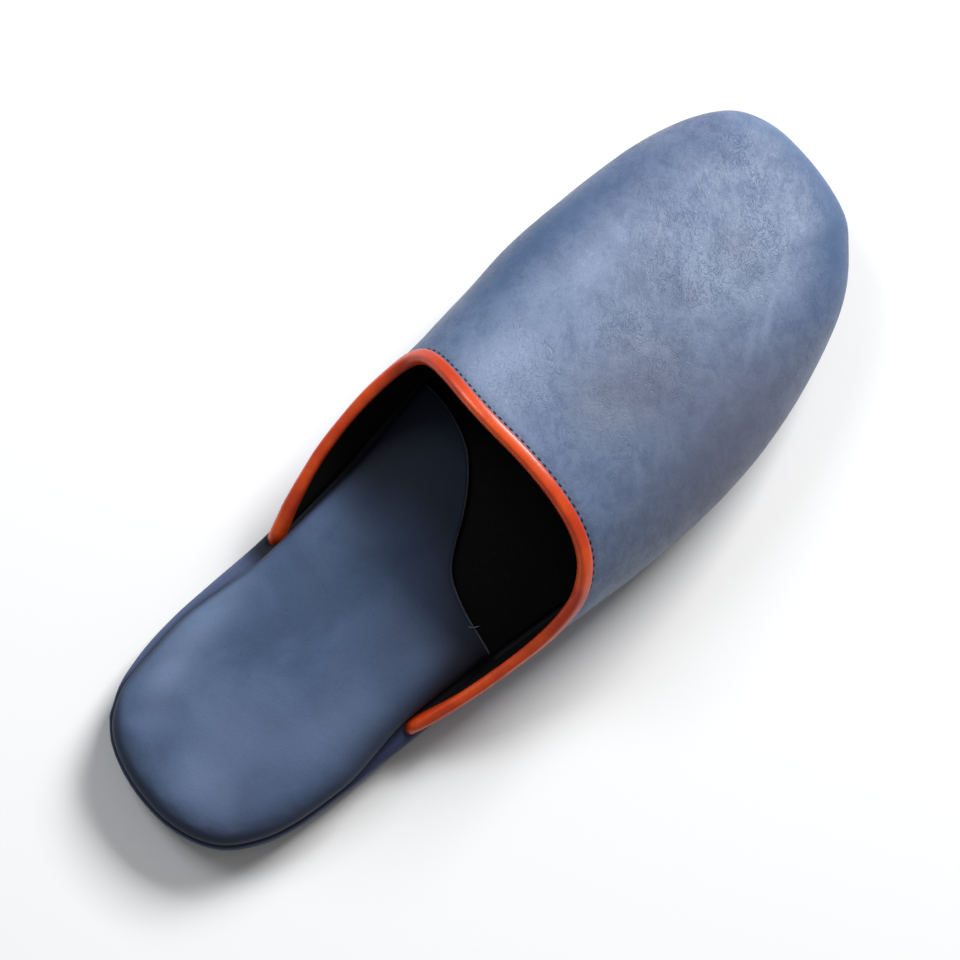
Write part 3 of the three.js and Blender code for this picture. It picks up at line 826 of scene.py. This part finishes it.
def thread_fibre(name, colour):
    """Twisted thread, darker in its turns."""
    n = Nodes(name)
    twist = n.noise(1, 2, 0.5, n.scaled((3500, 3500, 3500)))
    shade = n.blend(n.spread(twist, 0.35, 0.65), colour, tuple(c * 0.55 for c in colour))
    return n.finish(shade, 0.7, n.bump(twist, 0.04 * MM, 0.5))


def cut_edge(name, colour):
    """The raw grey fibres along a cut edge of leather."""
    n = Nodes(name)
    fibres = n.noise(900, 4, 0.7)
    shade = n.blend(n.spread(fibres, 0.35, 0.7), colour, tuple(c * 0.6 for c in colour))
    return n.finish(shade, 0.85, n.bump(fibres, 0.08 * MM, 0.6))


def floor_paper():
    n = Nodes("floor_paper")
    tone = n.spread(n.noise(3, 2, 0.5), 0.2, 0.8)
    return n.finish(n.blend(tone, *((grey, grey, grey, 1) for grey in FLOOR_TONES)), 0.9)


def last_point(way, level):
    """A point of the upper's outer face. `level` is -1 at the sole, 0 at the widest line and 1
    at the ridge."""
    way, level = np.broadcast_arrays(np.asarray(way, float), np.asarray(level, float))
    widest = outline_point(way)
    at = widest[..., 1] / SHOE_LENGTH
    widest_height = midsole_top_at(widest[..., 1]) + INSTEP_HEIGHT * GIRTH(at)
    share = np.clip(level + 1, 0, 1)
    foot = inset_point(way, tuck_at(way) + FEATHER_INSET)
    plan = lerp(foot, widest, np.sin(share * math.pi / 2)[..., None])
    low_height = lerp(upper_foot_at(foot[..., 1]), widest_height, share)
    low = np.concatenate([plan, low_height[..., None]], -1)
    angle = np.clip(level, 0, 1) * math.pi / 2
    power = 2 / FULLNESS(at)
    out = np.where(level >= 1, 0, np.cos(angle) ** power)
    rise = np.sin(angle) ** power
    fan_centre = np.array([BALL_WIDTH * RIDGE(FAN_AT), SHOE_LENGTH * FAN_AT])
    ridge = np.stack([BALL_WIDTH * RIDGE(at), widest[..., 1]], -1)
    top = np.where((np.abs(way) < 1 - turn_of(FAN_AT))[..., None], fan_centre, ridge)
    plan = top + (widest - top) * out[..., None]
    roof = INSTEP_HEIGHT * ROOF(plan[..., 1] / SHOE_LENGTH)
    high = np.concatenate([plan, lerp(widest_height, roof, rise)[..., None]], -1)
    return np.where((level < 0)[..., None], low, high)


def collar_place(sign, levels):
    """How far along the shoe the collar crosses each level on one side."""
    curve = COLLAR_MEDIAL if sign < 0 else COLLAR_LATERAL
    low = np.full(len(levels), COLLAR[0, 2])
    high = np.full(len(levels), FAN_AT)
    for _ in range(COLLAR_HALVINGS):
        at = (low + high) / 2
        height = last_point(sign * (1 - turn_of(at)), levels)[:, 2] / INSTEP_HEIGHT
        beyond = at > curve(height)
        high = np.where(beyond, at, high)
        low = np.where(beyond, low, at)
    return (low + high) / 2


def upper_grid():
    """Rows of points from the sole to the ridge, each from the medial collar round the toe."""
    tuck = np.linspace(-1, 0, TUCK_ROWS, endpoint=False)
    crown = np.linspace(0, 1, CROWN_ROWS) ** CROWN_CROWDING
    levels = np.concatenate([tuck, crown])
    medial = collar_place(-1, levels)
    lateral = collar_place(1, levels)
    lateral[-1] = medial[-1]
    share = np.arange(REAR_COLUMNS) / REAR_COLUMNS
    fan = 1 - turn_of(FAN_AT)
    medial_ways = -(1 - turn_of(lerp(medial[:, None], FAN_AT, share[None, :])))
    fan_ways = np.linspace(-fan, fan, FAN_COLUMNS + 1)
    fan_ways = np.broadcast_to(fan_ways, (len(levels), FAN_COLUMNS + 1))
    lateral_ways = (1 - turn_of(lerp(lateral[:, None], FAN_AT, share[None, :])))[:, ::-1]
    ways = np.concatenate([medial_ways, fan_ways, lateral_ways], 1)
    return last_point(ways, levels[:, None])


def collar_frames(grid):
    """Points of the outer face along the collar edge, with the directions along the edge, into
    the leather and out of it."""
    edges = np.concatenate([grid[:, 0], grid[::-1, -1][1:]])
    ahead = np.concatenate([grid[:, 1], grid[::-1, -2][1:]])
    along = unit(spans(edges))
    into = ahead - edges
    into = unit(into - along * (into * along).sum(1, keepdims=True))
    return edges, along, into, unit(np.cross(along, into))


def build_upper(grid):
    rows, columns = grid.shape[:2]
    lining = woven("upper_lining", *LINING_TONES, 0.5 * MM)
    upper = make_object("upper_leather_shell", grid.reshape(-1, 3), grid_faces(rows, columns),
                        [upper_leather(), lining], merge=UPPER_MERGE)
    points = vertices_of(upper)
    normals = normals_of(upper)
    to_collar = distance_to_line(points, collar_frames(grid)[0])[0]
    to_foot = distance_to_line(points, grid[0])[0]
    clear = smoothstep(to_collar, 3 * MM, 12 * MM) * smoothstep(to_foot, 4 * MM, 14 * MM)
    lumps = sum(lumps_at(points, *given) for given in UPPER_LUMPS)
    height = clear * (strokes_at(points, CREASES) + lumps)
    height -= STITCH_GROOVE * bell(to_collar - BINDING_LEG - STITCH_OFFSET, STITCH_GROOVE_WIDTH)
    moved = points + normals * height[:, None]
    moved[:, 2] -= FOOT_SINK * bell(to_foot, 0.5 * MM)
    move_vertices(upper, moved)
    # Strokes of wear with painted highlight, of painted darker-blue shade and of painted grey shade
    for key, strokes in (("wear_and_highlight", WEAR_AND_HIGHLIGHT_STROKES), ("deep", PAINTED_SHADE_STROKES), ("grey", GREY_AND_SHADE_STROKES)):
        set_attribute(upper, key, np.clip(strokes_at(points, strokes), 0, 1))
    # Painted shade where the upper meets the sole and beside the binding, with some soiling
    dirt_and_shade = bell(to_foot, 3 * MM) + 0.6 * bell(to_collar - BINDING_LEG, 1.2 * MM)
    set_attribute(upper, "dirt_and_shade", np.clip(dirt_and_shade, 0, 1))
    wall = upper.modifiers.new("wall", "SOLIDIFY")
    wall.thickness = UPPER_WALL
    wall.offset = -1
    wall.material_offset = 1
    wall.use_even_offset = False
    return upper


def build_binding(grid):
    """The orange strip folded over the collar edge, its ends running down into the sole."""
    edges, along, into, out = collar_frames(grid)
    middle = edges - out * UPPER_WALL / 2
    back, drop, narrow = BINDING_ENDS.T
    back, down = back[:, None], np.array([0, 0, -1]) * drop[:, None] * MM
    first = middle[0] - along[0] * back * MM + down
    last = (middle[-1] + along[-1] * back * MM + down)[::-1]
    middle = np.concatenate([first, middle, last])
    ends = len(BINDING_ENDS)
    into, out = (
        np.concatenate([np.repeat(way[:1], ends, 0), way, np.repeat(way[-1:], ends, 0)])
        for way in (into, out)
    )
    run = run_along(middle)
    to_end = np.minimum(run, run[-1] - run)
    width = 1 + BINDING_SPREAD * (1 - smoothstep(to_end, *BINDING_SPREADS))
    width[:ends] *= narrow
    width[-ends:] *= narrow[::-1]
    wave = 1 + 0.035 * np.sin(run / (9 * MM)) + 0.02 * np.sin(run / (3.1 * MM) + 1)
    thick = wave * np.minimum(width, 1)
    outer = UPPER_WALL / 2 + BINDING_GAP + BINDING_LEATHER
    tip = (BINDING_LEG + 0.1 * MM, UPPER_WALL / 2 + 0.02 * MM)
    leg = [tip] + [(BINDING_LEG * share, outer * bulge) for share, bulge in BINDING_LEG_BULGES]
    angle = np.radians(np.linspace(90, 270, BINDING_ROUND_STEPS))
    radius = outer * (1 + 0.05 * np.sin(angle * 2) ** 2)
    fold = np.column_stack([radius * np.cos(angle), radius * np.sin(angle)])
    section = np.concatenate([leg, fold, [(x, -y) for x, y in leg[::-1]]])
    points = (
        middle[:, None]
        + into[:, None] * section[:, :1] * width[:, None, None]
        + out[:, None] * section[:, 1:] * thick[:, None, None]
    )
    stations, count = points.shape[:2]
    faces = tube_faces(stations, count, turned=True)
    binding = make_object("binding_strip", points.reshape(-1, 3), faces, [binding_leather()])
    set_attribute(binding, "round", np.tile(np.linspace(1, -1, count), stations))
    set_attribute(binding, "run", np.repeat(run, count))
    return binding


def build_stitches(grid):
    """Short dark stitches in the upper, beside the binding."""
    edges, along, into, out = collar_frames(grid)
    run = run_along(edges)
    places = np.arange(STITCH_MARGIN, run[-1] - STITCH_MARGIN, STITCH_PITCH)
    centre, forward, up = (
        values_at(places, run, values)[:, None, None]
        for values in (edges + into * (BINDING_LEG + STITCH_OFFSET), along, out)
    )
    forward = unit(forward)
    up = unit(up - forward * (up * forward).sum(-1, keepdims=True))
    side = np.cross(forward, up)
    t = np.linspace(-1, 1, STITCH_RINGS)[:, None, None]
    angle = turns_round(STITCH_SIDES)
    radius = STITCH_WIDTH / 2 * np.sqrt(np.maximum(0.05, 1 - t * t))
    lift = STITCH_RISE * (1 - t * t) - STITCH_SUNK + radius * np.sin(angle) * STITCH_FLATNESS
    points = centre + forward * (t * STITCH_LENGTH / 2) + up * lift + side * radius * np.cos(angle)
    faces = []
    for stitch in range(len(places)):
        faces += tube_faces(STITCH_RINGS, STITCH_SIDES, stitch * STITCH_RINGS * STITCH_SIDES)
    thread = thread_fibre("stitch_thread", STITCH_THREAD)
    return make_object("binding_stitches", points.reshape(-1, 3), faces, [thread])


def ring_solid(rings, stations):
    """Points and faces of a closed slab of rings round the outline. Each ring has an inset from
    the tucked-in outline, a surface and a height over that surface."""
    count = 2 * stations
    ways = -1 + 2 * np.arange(count) / count
    points = []
    for inset, surface, height in rings:
        plan = inset_point(ways, tuck_at(ways) + inset)
        points.append(np.column_stack([plan, surface(plan[:, 1]) + height]))
    faces = grid_faces(len(rings), count, closed=True)
    top = (len(rings) - 1) * count
    for i in range(stations):
        m0, m1, l0, l1 = i, i + 1, (count - i) % count, count - i - 1
        faces.append([m0, m1, l1, l0][::-1])
        faces.append([top + m0, top + m1, top + l1, top + l0])
    return np.concatenate(points), faces


def build_outsole():
    rings = [
        (OUTSOLE_INSET + OUTSOLE_ROUND * (1 - math.sin(a)), underside_at,
         OUTSOLE_ROUND * (1 - math.cos(a)))
        for a in np.linspace(0, math.pi / 2, OUTSOLE_ROUND_RINGS)
    ]
    rings.append((OUTSOLE_INSET, underside_at, OUTSOLE_THICKNESS))
    nap = suede("outsole_nap", *SUEDE_TONES)
    return make_object("outsole_suede", *ring_solid(rings, SOLE_STATIONS), [nap], merge=MERGE)


def build_wrap():
    """The sole's core in its leather wrap, rounded at both edges and pulled in over the top."""
    rings = [
        (EDGE_ROUND * (1 - math.cos(a)), midsole_bottom_at, EDGE_ROUND * (1 + math.sin(a)))
        for a in np.linspace(-math.pi / 2, 0, WRAP_ROUND_RINGS)
    ]
    rings.append((-WRAP_BELLY, midsole_middle_at, 0))
    rings += [
        (EDGE_ROUND * (1 - math.cos(a)), midsole_top_at, EDGE_ROUND * (math.sin(a) - 1))
        for a in np.linspace(0, math.pi / 2, WRAP_ROUND_RINGS)
    ]
    rings += [(inset * MM, midsole_top_at, 0) for inset in WRAP_TOP_INSETS]
    leather = plain_leather("wrap_leather", *WRAP_TONES)
    wrap = make_object("sole_wrap", *ring_solid(rings, SOLE_STATIONS), [leather], merge=MERGE)
    found = vertices_of(wrap)
    normals = normals_of(wrap)
    seam_way = np.array([WRAP_SEAM_WAY])
    seam = inset_point(seam_way, tuck_at(seam_way))[0]
    to_seam = np.linalg.norm(found[:, :2] - seam, axis=1)
    raised = WRAP_SEAM_HEIGHT * bell(to_seam, WRAP_SEAM_WIDTH) + lumps_at(found, *WRAP_LUMPS)
    raised *= smoothstep(found[:, 2] - underside_at(found[:, 1]), 3.2 * MM, 5 * MM)
    move_vertices(wrap, found + normals * raised[:, None])
    height = (found[:, 2] - midsole_bottom_at(found[:, 1])) / midsole_thickness_at(found[:, 1])
    on_top = smoothstep(normals[:, 2], 0.35, 0.75)
    to_pad = distance_to_line(found[:, :2], pad_rim()[::3])[0]
    shares = found[:, :2] / (BALL_WIDTH, SHOE_LENGTH)
    inner_side = smoothstep(-shares[:, 0], 0.16, 0.3) * smoothstep(shares[:, 1], 0.04, 0.1)
    # Painted shade with some soiling: darker towards the bottom, a dark ring round the seam, a dark line
    # beside the sock, and darker over the top at the heel and lateral side, which face away from the
    # light
    dirt_and_shade = np.clip(0.9 - 2.2 * height, 0, 1) + 0.9 * bell(to_seam - 1.2 * MM, 0.7 * MM)
    dirt_and_shade += on_top * bell(to_pad, 1.1 * MM)
    dirt_and_shade += 0.55 * (1 - inner_side) * smoothstep(height, 0.5, 0.9)
    set_attribute(wrap, "dirt_and_shade", np.clip(dirt_and_shade, 0, 1))
    # Painted highlight along the top of the medial side, where the light falls
    set_attribute(wrap, "wear_and_highlight", inner_side * bell(height - 0.94, 0.1))
    # Painted shade over the wrap's top inside the shoe's walls
    in_walls = smoothstep(shares[:, 1], STRIP_ENDS[1] - 0.02, STRIP_ENDS[1] + 0.01)
    set_attribute(wrap, "painted_shade", on_top * in_walls)
    return wrap


def build_footbed():
    rings = [
        (FOOTBED_INSET, upper_foot_at, 0),
        (FOOTBED_INSET, footbed_top_at, -FOOTBED_ROUND),
        (FOOTBED_INSET + FOOTBED_ROUND, footbed_top_at, 0),
    ]
    weave = woven("footbed_weave", *CLOTH_TONES, 0.6 * MM)
    return make_object("footbed_cloth", *ring_solid(rings, FOOTBED_STATIONS), [weave], merge=MERGE)


def pad_inset(way):
    wrapped = wrap_way(np.asarray(way, float))
    at = place_of(1 - np.abs(wrapped))
    side = np.where(wrapped < 0, STRIP_MEDIAL, STRIP_LATERAL)
    rear = lerp(STRIP_LATERAL, side, smoothstep(at, *STRIP_WIDENS))
    return tuck_at(way) + lerp(rear, FOOTBED_INSET, smoothstep(at, *STRIP_ENDS))


def pad_front_edge(x):
    return SHOE_LENGTH * PAD_FRONT_CURVE(x / BALL_WIDTH)


def pad_thickness_at(y):
    share = smoothstep(y / SHOE_LENGTH, *PAD_THINS)
    return lerp(PAD_THICKNESS, PAD_FRONT_THICKNESS, share)


def even_line(line, shares):
    """Points at the given shares of the length of a line."""
    run = run_along(line)
    return values_at(shares * run[-1], run, line)


def pad_rim():
    """The pad's edge on the plan, from its medial front corner round the heel to the lateral one."""
    medial = np.linspace(-RIM_FROM, -1, RIM_POINTS, endpoint=False)
    ways = np.concatenate([medial, np.linspace(1, RIM_FROM, RIM_POINTS)])
    rim = inset_point(ways, pad_inset(ways))
    return rim[rim[:, 1] <= pad_front_edge(rim[:, 0])]


def puff(obj, held):
    """Blows the sock up as cloth over its foam, with the held points kept in place."""
    rest = vertices_of(obj)
    group = obj.vertex_groups.new(name="held")
    group.add([int(i) for i in np.flatnonzero(held)], 1.0, "REPLACE")
    cloth = obj.modifiers.new("puff", "CLOTH")
    settings = cloth.settings
    settings.quality = 6
    settings.mass = 0.15
    settings.tension_stiffness = 25
    settings.compression_stiffness = 12
    settings.bending_stiffness = 0.6
    settings.use_pressure = True
    settings.uniform_pressure_force = PUFF_PRESSURE
    settings.vertex_group_mass = group.name
    settings.effector_weights.gravity = 0
    cloth.collision_settings.use_collision = False
    cloth.point_cache.frame_start = 1
    cloth.point_cache.frame_end = PUFF_FRAMES
    scene = bpy.context.scene
    for step in range(1, PUFF_FRAMES + 1):
        scene.frame_set(step)
    blown = obj.evaluated_get(bpy.context.evaluated_depsgraph_get())
    move = read_vectors(blown.to_mesh().vertices, "co") + ORIGIN - rest
    blown.to_mesh_clear()
    obj.modifiers.remove(cloth)
    scene.frame_set(1)
    reach = np.linalg.norm(move, axis=1, keepdims=True)
    move_vertices(obj, rest + move * np.minimum(1, PUFF_CAP / np.maximum(reach, 1e-9)))


def build_sock():
    """The padded heel sock: a crowned top, a rim rounded down to the sole and a thin cut front."""
    rim = pad_rim()
    across = (1 - np.cos(np.linspace(0, math.pi, PAD_ACROSS))) / 2
    across = lerp(np.linspace(0, 1, PAD_ACROSS), across, CROWDED_ACROSS)
    ahead = np.linspace(0, 1, PAD_ALONG)
    ahead = lerp(ahead, 1 - np.cos(ahead * math.pi / 2), CROWDED_ALONG)
    heel_from, heel_to = 0.5 - HEEL_ARC_SHARE, 0.5 + HEEL_ARC_SHARE
    medial = even_line(rim, lerp(heel_from, 0, ahead))
    lateral = even_line(rim, lerp(heel_to, 1, ahead))
    heel = even_line(rim, lerp(heel_from, heel_to, across))
    xs = lerp(rim[0, 0], rim[-1, 0], across)
    front = np.stack([xs, pad_front_edge(xs)], -1)
    front[0], front[-1] = rim[0], rim[-1]
    u, v = across[None, :, None], ahead[:, None, None]
    plan = (
        (1 - v) * heel[None] + v * front[None] + (1 - u) * medial[:, None] + u * lateral[:, None]
        - (1 - u) * (1 - v) * heel[0] - u * (1 - v) * heel[-1]
        - (1 - u) * v * front[0] - u * v * front[-1]
    )
    flat = plan.reshape(-1, 2)
    to_rim = distance_to_line(flat, rim[::3])[0]
    to_rim[to_rim < 0.02 * MM] = 0
    run = 1 - np.clip(to_rim / PAD_ROUND, 0, 1)
    rise = np.sqrt(np.maximum(0, 1 - run**2))
    y = flat[:, 1]
    foot = upper_foot_at(y)
    body = pad_bottom_at(y) - foot + pad_thickness_at(y)
    top = foot + body * lerp(PAD_WIDEST_SHARE, 1, rise)
    in_walls = smoothstep(y / SHOE_LENGTH, *STRIP_ENDS)
    rim_foot = lerp(foot, pad_bottom_at(y), in_walls)
    bottom = np.where(to_rim < 1 * MM, rim_foot, pad_bottom_at(y))
    bottom = np.minimum(bottom, top - 0.3 * MM)
    count = len(flat)
    points = np.concatenate([np.column_stack([flat, top]), np.column_stack([flat, bottom])])
    numbers = np.arange(count).reshape(PAD_ALONG, PAD_ACROSS)
    side = np.concatenate([numbers[::-1, 0], numbers[0, 1:], numbers[1:, -1]]).tolist()
    edge = numbers[-1].tolist()
    faces = grid_faces(PAD_ALONG, PAD_ACROSS)
    faces += [[a, d, c, b] for a, b, c, d in grid_faces(PAD_ALONG, PAD_ACROSS, count)]
    faces += [[a + count, b + count, b, a] for a, b in zip(side[:-1], side[1:])]
    slots = [0] * len(faces) + [1] * (len(edge) - 1)
    faces += [[a, b, b + count, a + count] for a, b in zip(edge[:-1], edge[1:])]
    leather = plain_leather("sock_leather", *SOCK_TONES, SOCK_EDGE)
    sock = make_object("heel_sock", points, faces, [leather, cut_edge("sock_cut_edge", CUT_EDGE)], slots)
    to_front = pad_front_edge(flat[:, 0]) - y
    set_attribute(sock, "front", np.tile(to_front, 2))
    shares = flat / (BALL_WIDTH, SHOE_LENGTH)
    # Painted shade at the sock's rounded rim, widest on the heel and lateral side, which face away from
    # the light
    shaded = 1 - smoothstep(shares[:, 1], 0.02, 0.07)
    shaded = np.maximum(smoothstep(shares[:, 0], -0.3, -0.1), shaded)
    set_attribute(sock, "dirt_and_shade", np.tile(bell(to_rim, lerp(1.1 * MM, 5.2 * MM, shaded)), 2))
    # Painted shadow of the vamp over the sock's front
    past_line = y - SHOE_LENGTH * smooth_curve(*SHADE_LINE.T)(shares[:, 0])
    set_attribute(sock, "painted_shade", np.tile(SHADE_DEPTH * smoothstep(past_line, *SHADE_WAY), 2))
    # Wear with painted light over the heel
    set_attribute(sock, "wear_and_highlight", np.clip(strokes_at(points, SOCK_WEAR_AND_LIGHT), 0, 1))
    held = np.tile((to_rim < HELD_RIM) | (to_front < HELD_FRONT), 2)
    held[count:] = True
    puff(sock, held)
    settled = vertices_of(sock)
    free = smoothstep(np.tile(to_rim, 2), *DENTS_IN) * (np.arange(2 * count) < count)
    settled[:, 2] += free * (strokes_at(settled, SOCK_DENTS) + lumps_at(settled, *SOCK_LUMPS))
    move_vertices(sock, settled)
    smooth = sock.modifiers.new("smooth", "SUBSURF")
    smooth.levels = smooth.render_levels = 1
    return sock


def build_edge_fray(sock):
    """One grey thread standing off the sock's cut edge near its lateral corner."""
    line = rounded_line(np.array(EDGE_FRAY) * (BALL_WIDTH, SHOE_LENGTH, MM), FRAY_POINTS)
    found = vertices_of(sock)
    top = found[: len(found) // 2]
    for point in line:
        nearest = np.linalg.norm(top[:, :2] - point[:2], axis=1).argmin()
        point[2] += top[nearest, 2] + THREAD_WIDTH / 2
    along = unit(np.gradient(line, axis=0))
    side = unit(np.cross(along, (0, 0, 1)))
    over = np.cross(side, along)
    angle = turns_round(FRAY_SIDES)
    ring = side[:, None] * np.cos(angle) + over[:, None] * np.sin(angle)
    radius = THREAD_WIDTH / 2 * np.sqrt(np.sin(math.pi * np.linspace(0.04, 0.96, FRAY_POINTS)))
    points = line[:, None] + ring * radius[:, None, None]
    fibre = thread_fibre("fray_fibre", FRAY_FIBRE)
    return make_object("edge_fray", points.reshape(-1, 3), tube_faces(FRAY_POINTS, FRAY_SIDES), [fibre])


def add_light(name, turn, elevation, distance, size, power, colour=(1, 1, 1)):
    """An area light. `turn` is measured from the picture's up direction, clockwise in degrees."""
    heading = CAMERA_AZIMUTH - math.radians(turn)
    lift = math.radians(elevation)
    flat = math.cos(lift)
    away = Vector((-math.sin(heading) * flat, math.cos(heading) * flat, math.sin(lift)))
    data = bpy.data.lights.new(name, "AREA")
    data.shape = "RECTANGLE"
    data.size, data.size_y = size
    data.energy = power
    data.color = colour
    light = place(name, data)
    light.location = away * distance
    light.rotation_euler = away.to_track_quat("Z", "Y").to_euler()


grid = upper_grid()
upper = build_upper(grid)
binding = build_binding(grid)
stitches = build_stitches(grid)
outsole = build_outsole()
wrap = build_wrap()
footbed = build_footbed()
sock = build_sock()
edge_fray = build_edge_fray(sock)

for piece, node, slot in (
    (outsole, "outsole", "outsole"),
    (wrap, "midsole", "sole_wrap"),
    (footbed, "footbed", "lining"),
    (sock, "heel_pad", "sock"),
    (upper, "upper", "upper"),
    (binding, "binding", "binding"),
):
    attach(piece, "root")
    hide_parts(node)
for piece, slot in ((stitches, "upper"), (edge_fray, "sock")):
    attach(piece, "root")

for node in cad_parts.values():
    node.data.materials.clear()
    node.data.materials.append(upper.data.materials[0])

floor_mesh = bpy.data.meshes.new("floor")
corners = [
    (x * FLOOR_REACH, y * FLOOR_REACH, FLOOR_HEIGHT) for x, y in ((-1, -1), (1, -1), (1, 1), (-1, 1))
]
floor_mesh.from_pydata(corners, [], [(0, 1, 2, 3)])
floor_mesh.materials.append(floor_paper())
floor = place("floor", floor_mesh)

add_light("key", 38, 34, 2.3, (1.0, 0.8), 76)
add_light("window", -42, 50, 1.6, (0.6, 0.6), 7, (0.9, 0.95, 1.0))

world = bpy.data.worlds.new("studio")
world.use_nodes = True
background = world.node_tree.nodes["Background"]
background.inputs["Color"].default_value = (1, 1, 1, 1)
background.inputs["Strength"].default_value = WORLD_LIGHT
bpy.context.scene.world = world
bpy.context.scene.view_settings.view_transform = "Standard"

camera_data = bpy.data.cameras.new("camera")
camera_data.sensor_width = SENSOR_WIDTH
camera_data.lens = SENSOR_WIDTH * CAMERA_DISTANCE / FRAME_WIDTH
camera_data.clip_end = 20
camera = place("camera", camera_data)
toward = Vector((
    math.sin(CAMERA_AZIMUTH) * math.cos(CAMERA_ELEVATION),
    -math.cos(CAMERA_AZIMUTH) * math.cos(CAMERA_ELEVATION),
    math.sin(CAMERA_ELEVATION),
))
camera.location = LOOK_AT + toward * CAMERA_DISTANCE
camera.rotation_euler = toward.to_track_quat("Z", "Y").to_euler()
bpy.context.scene.camera = camera
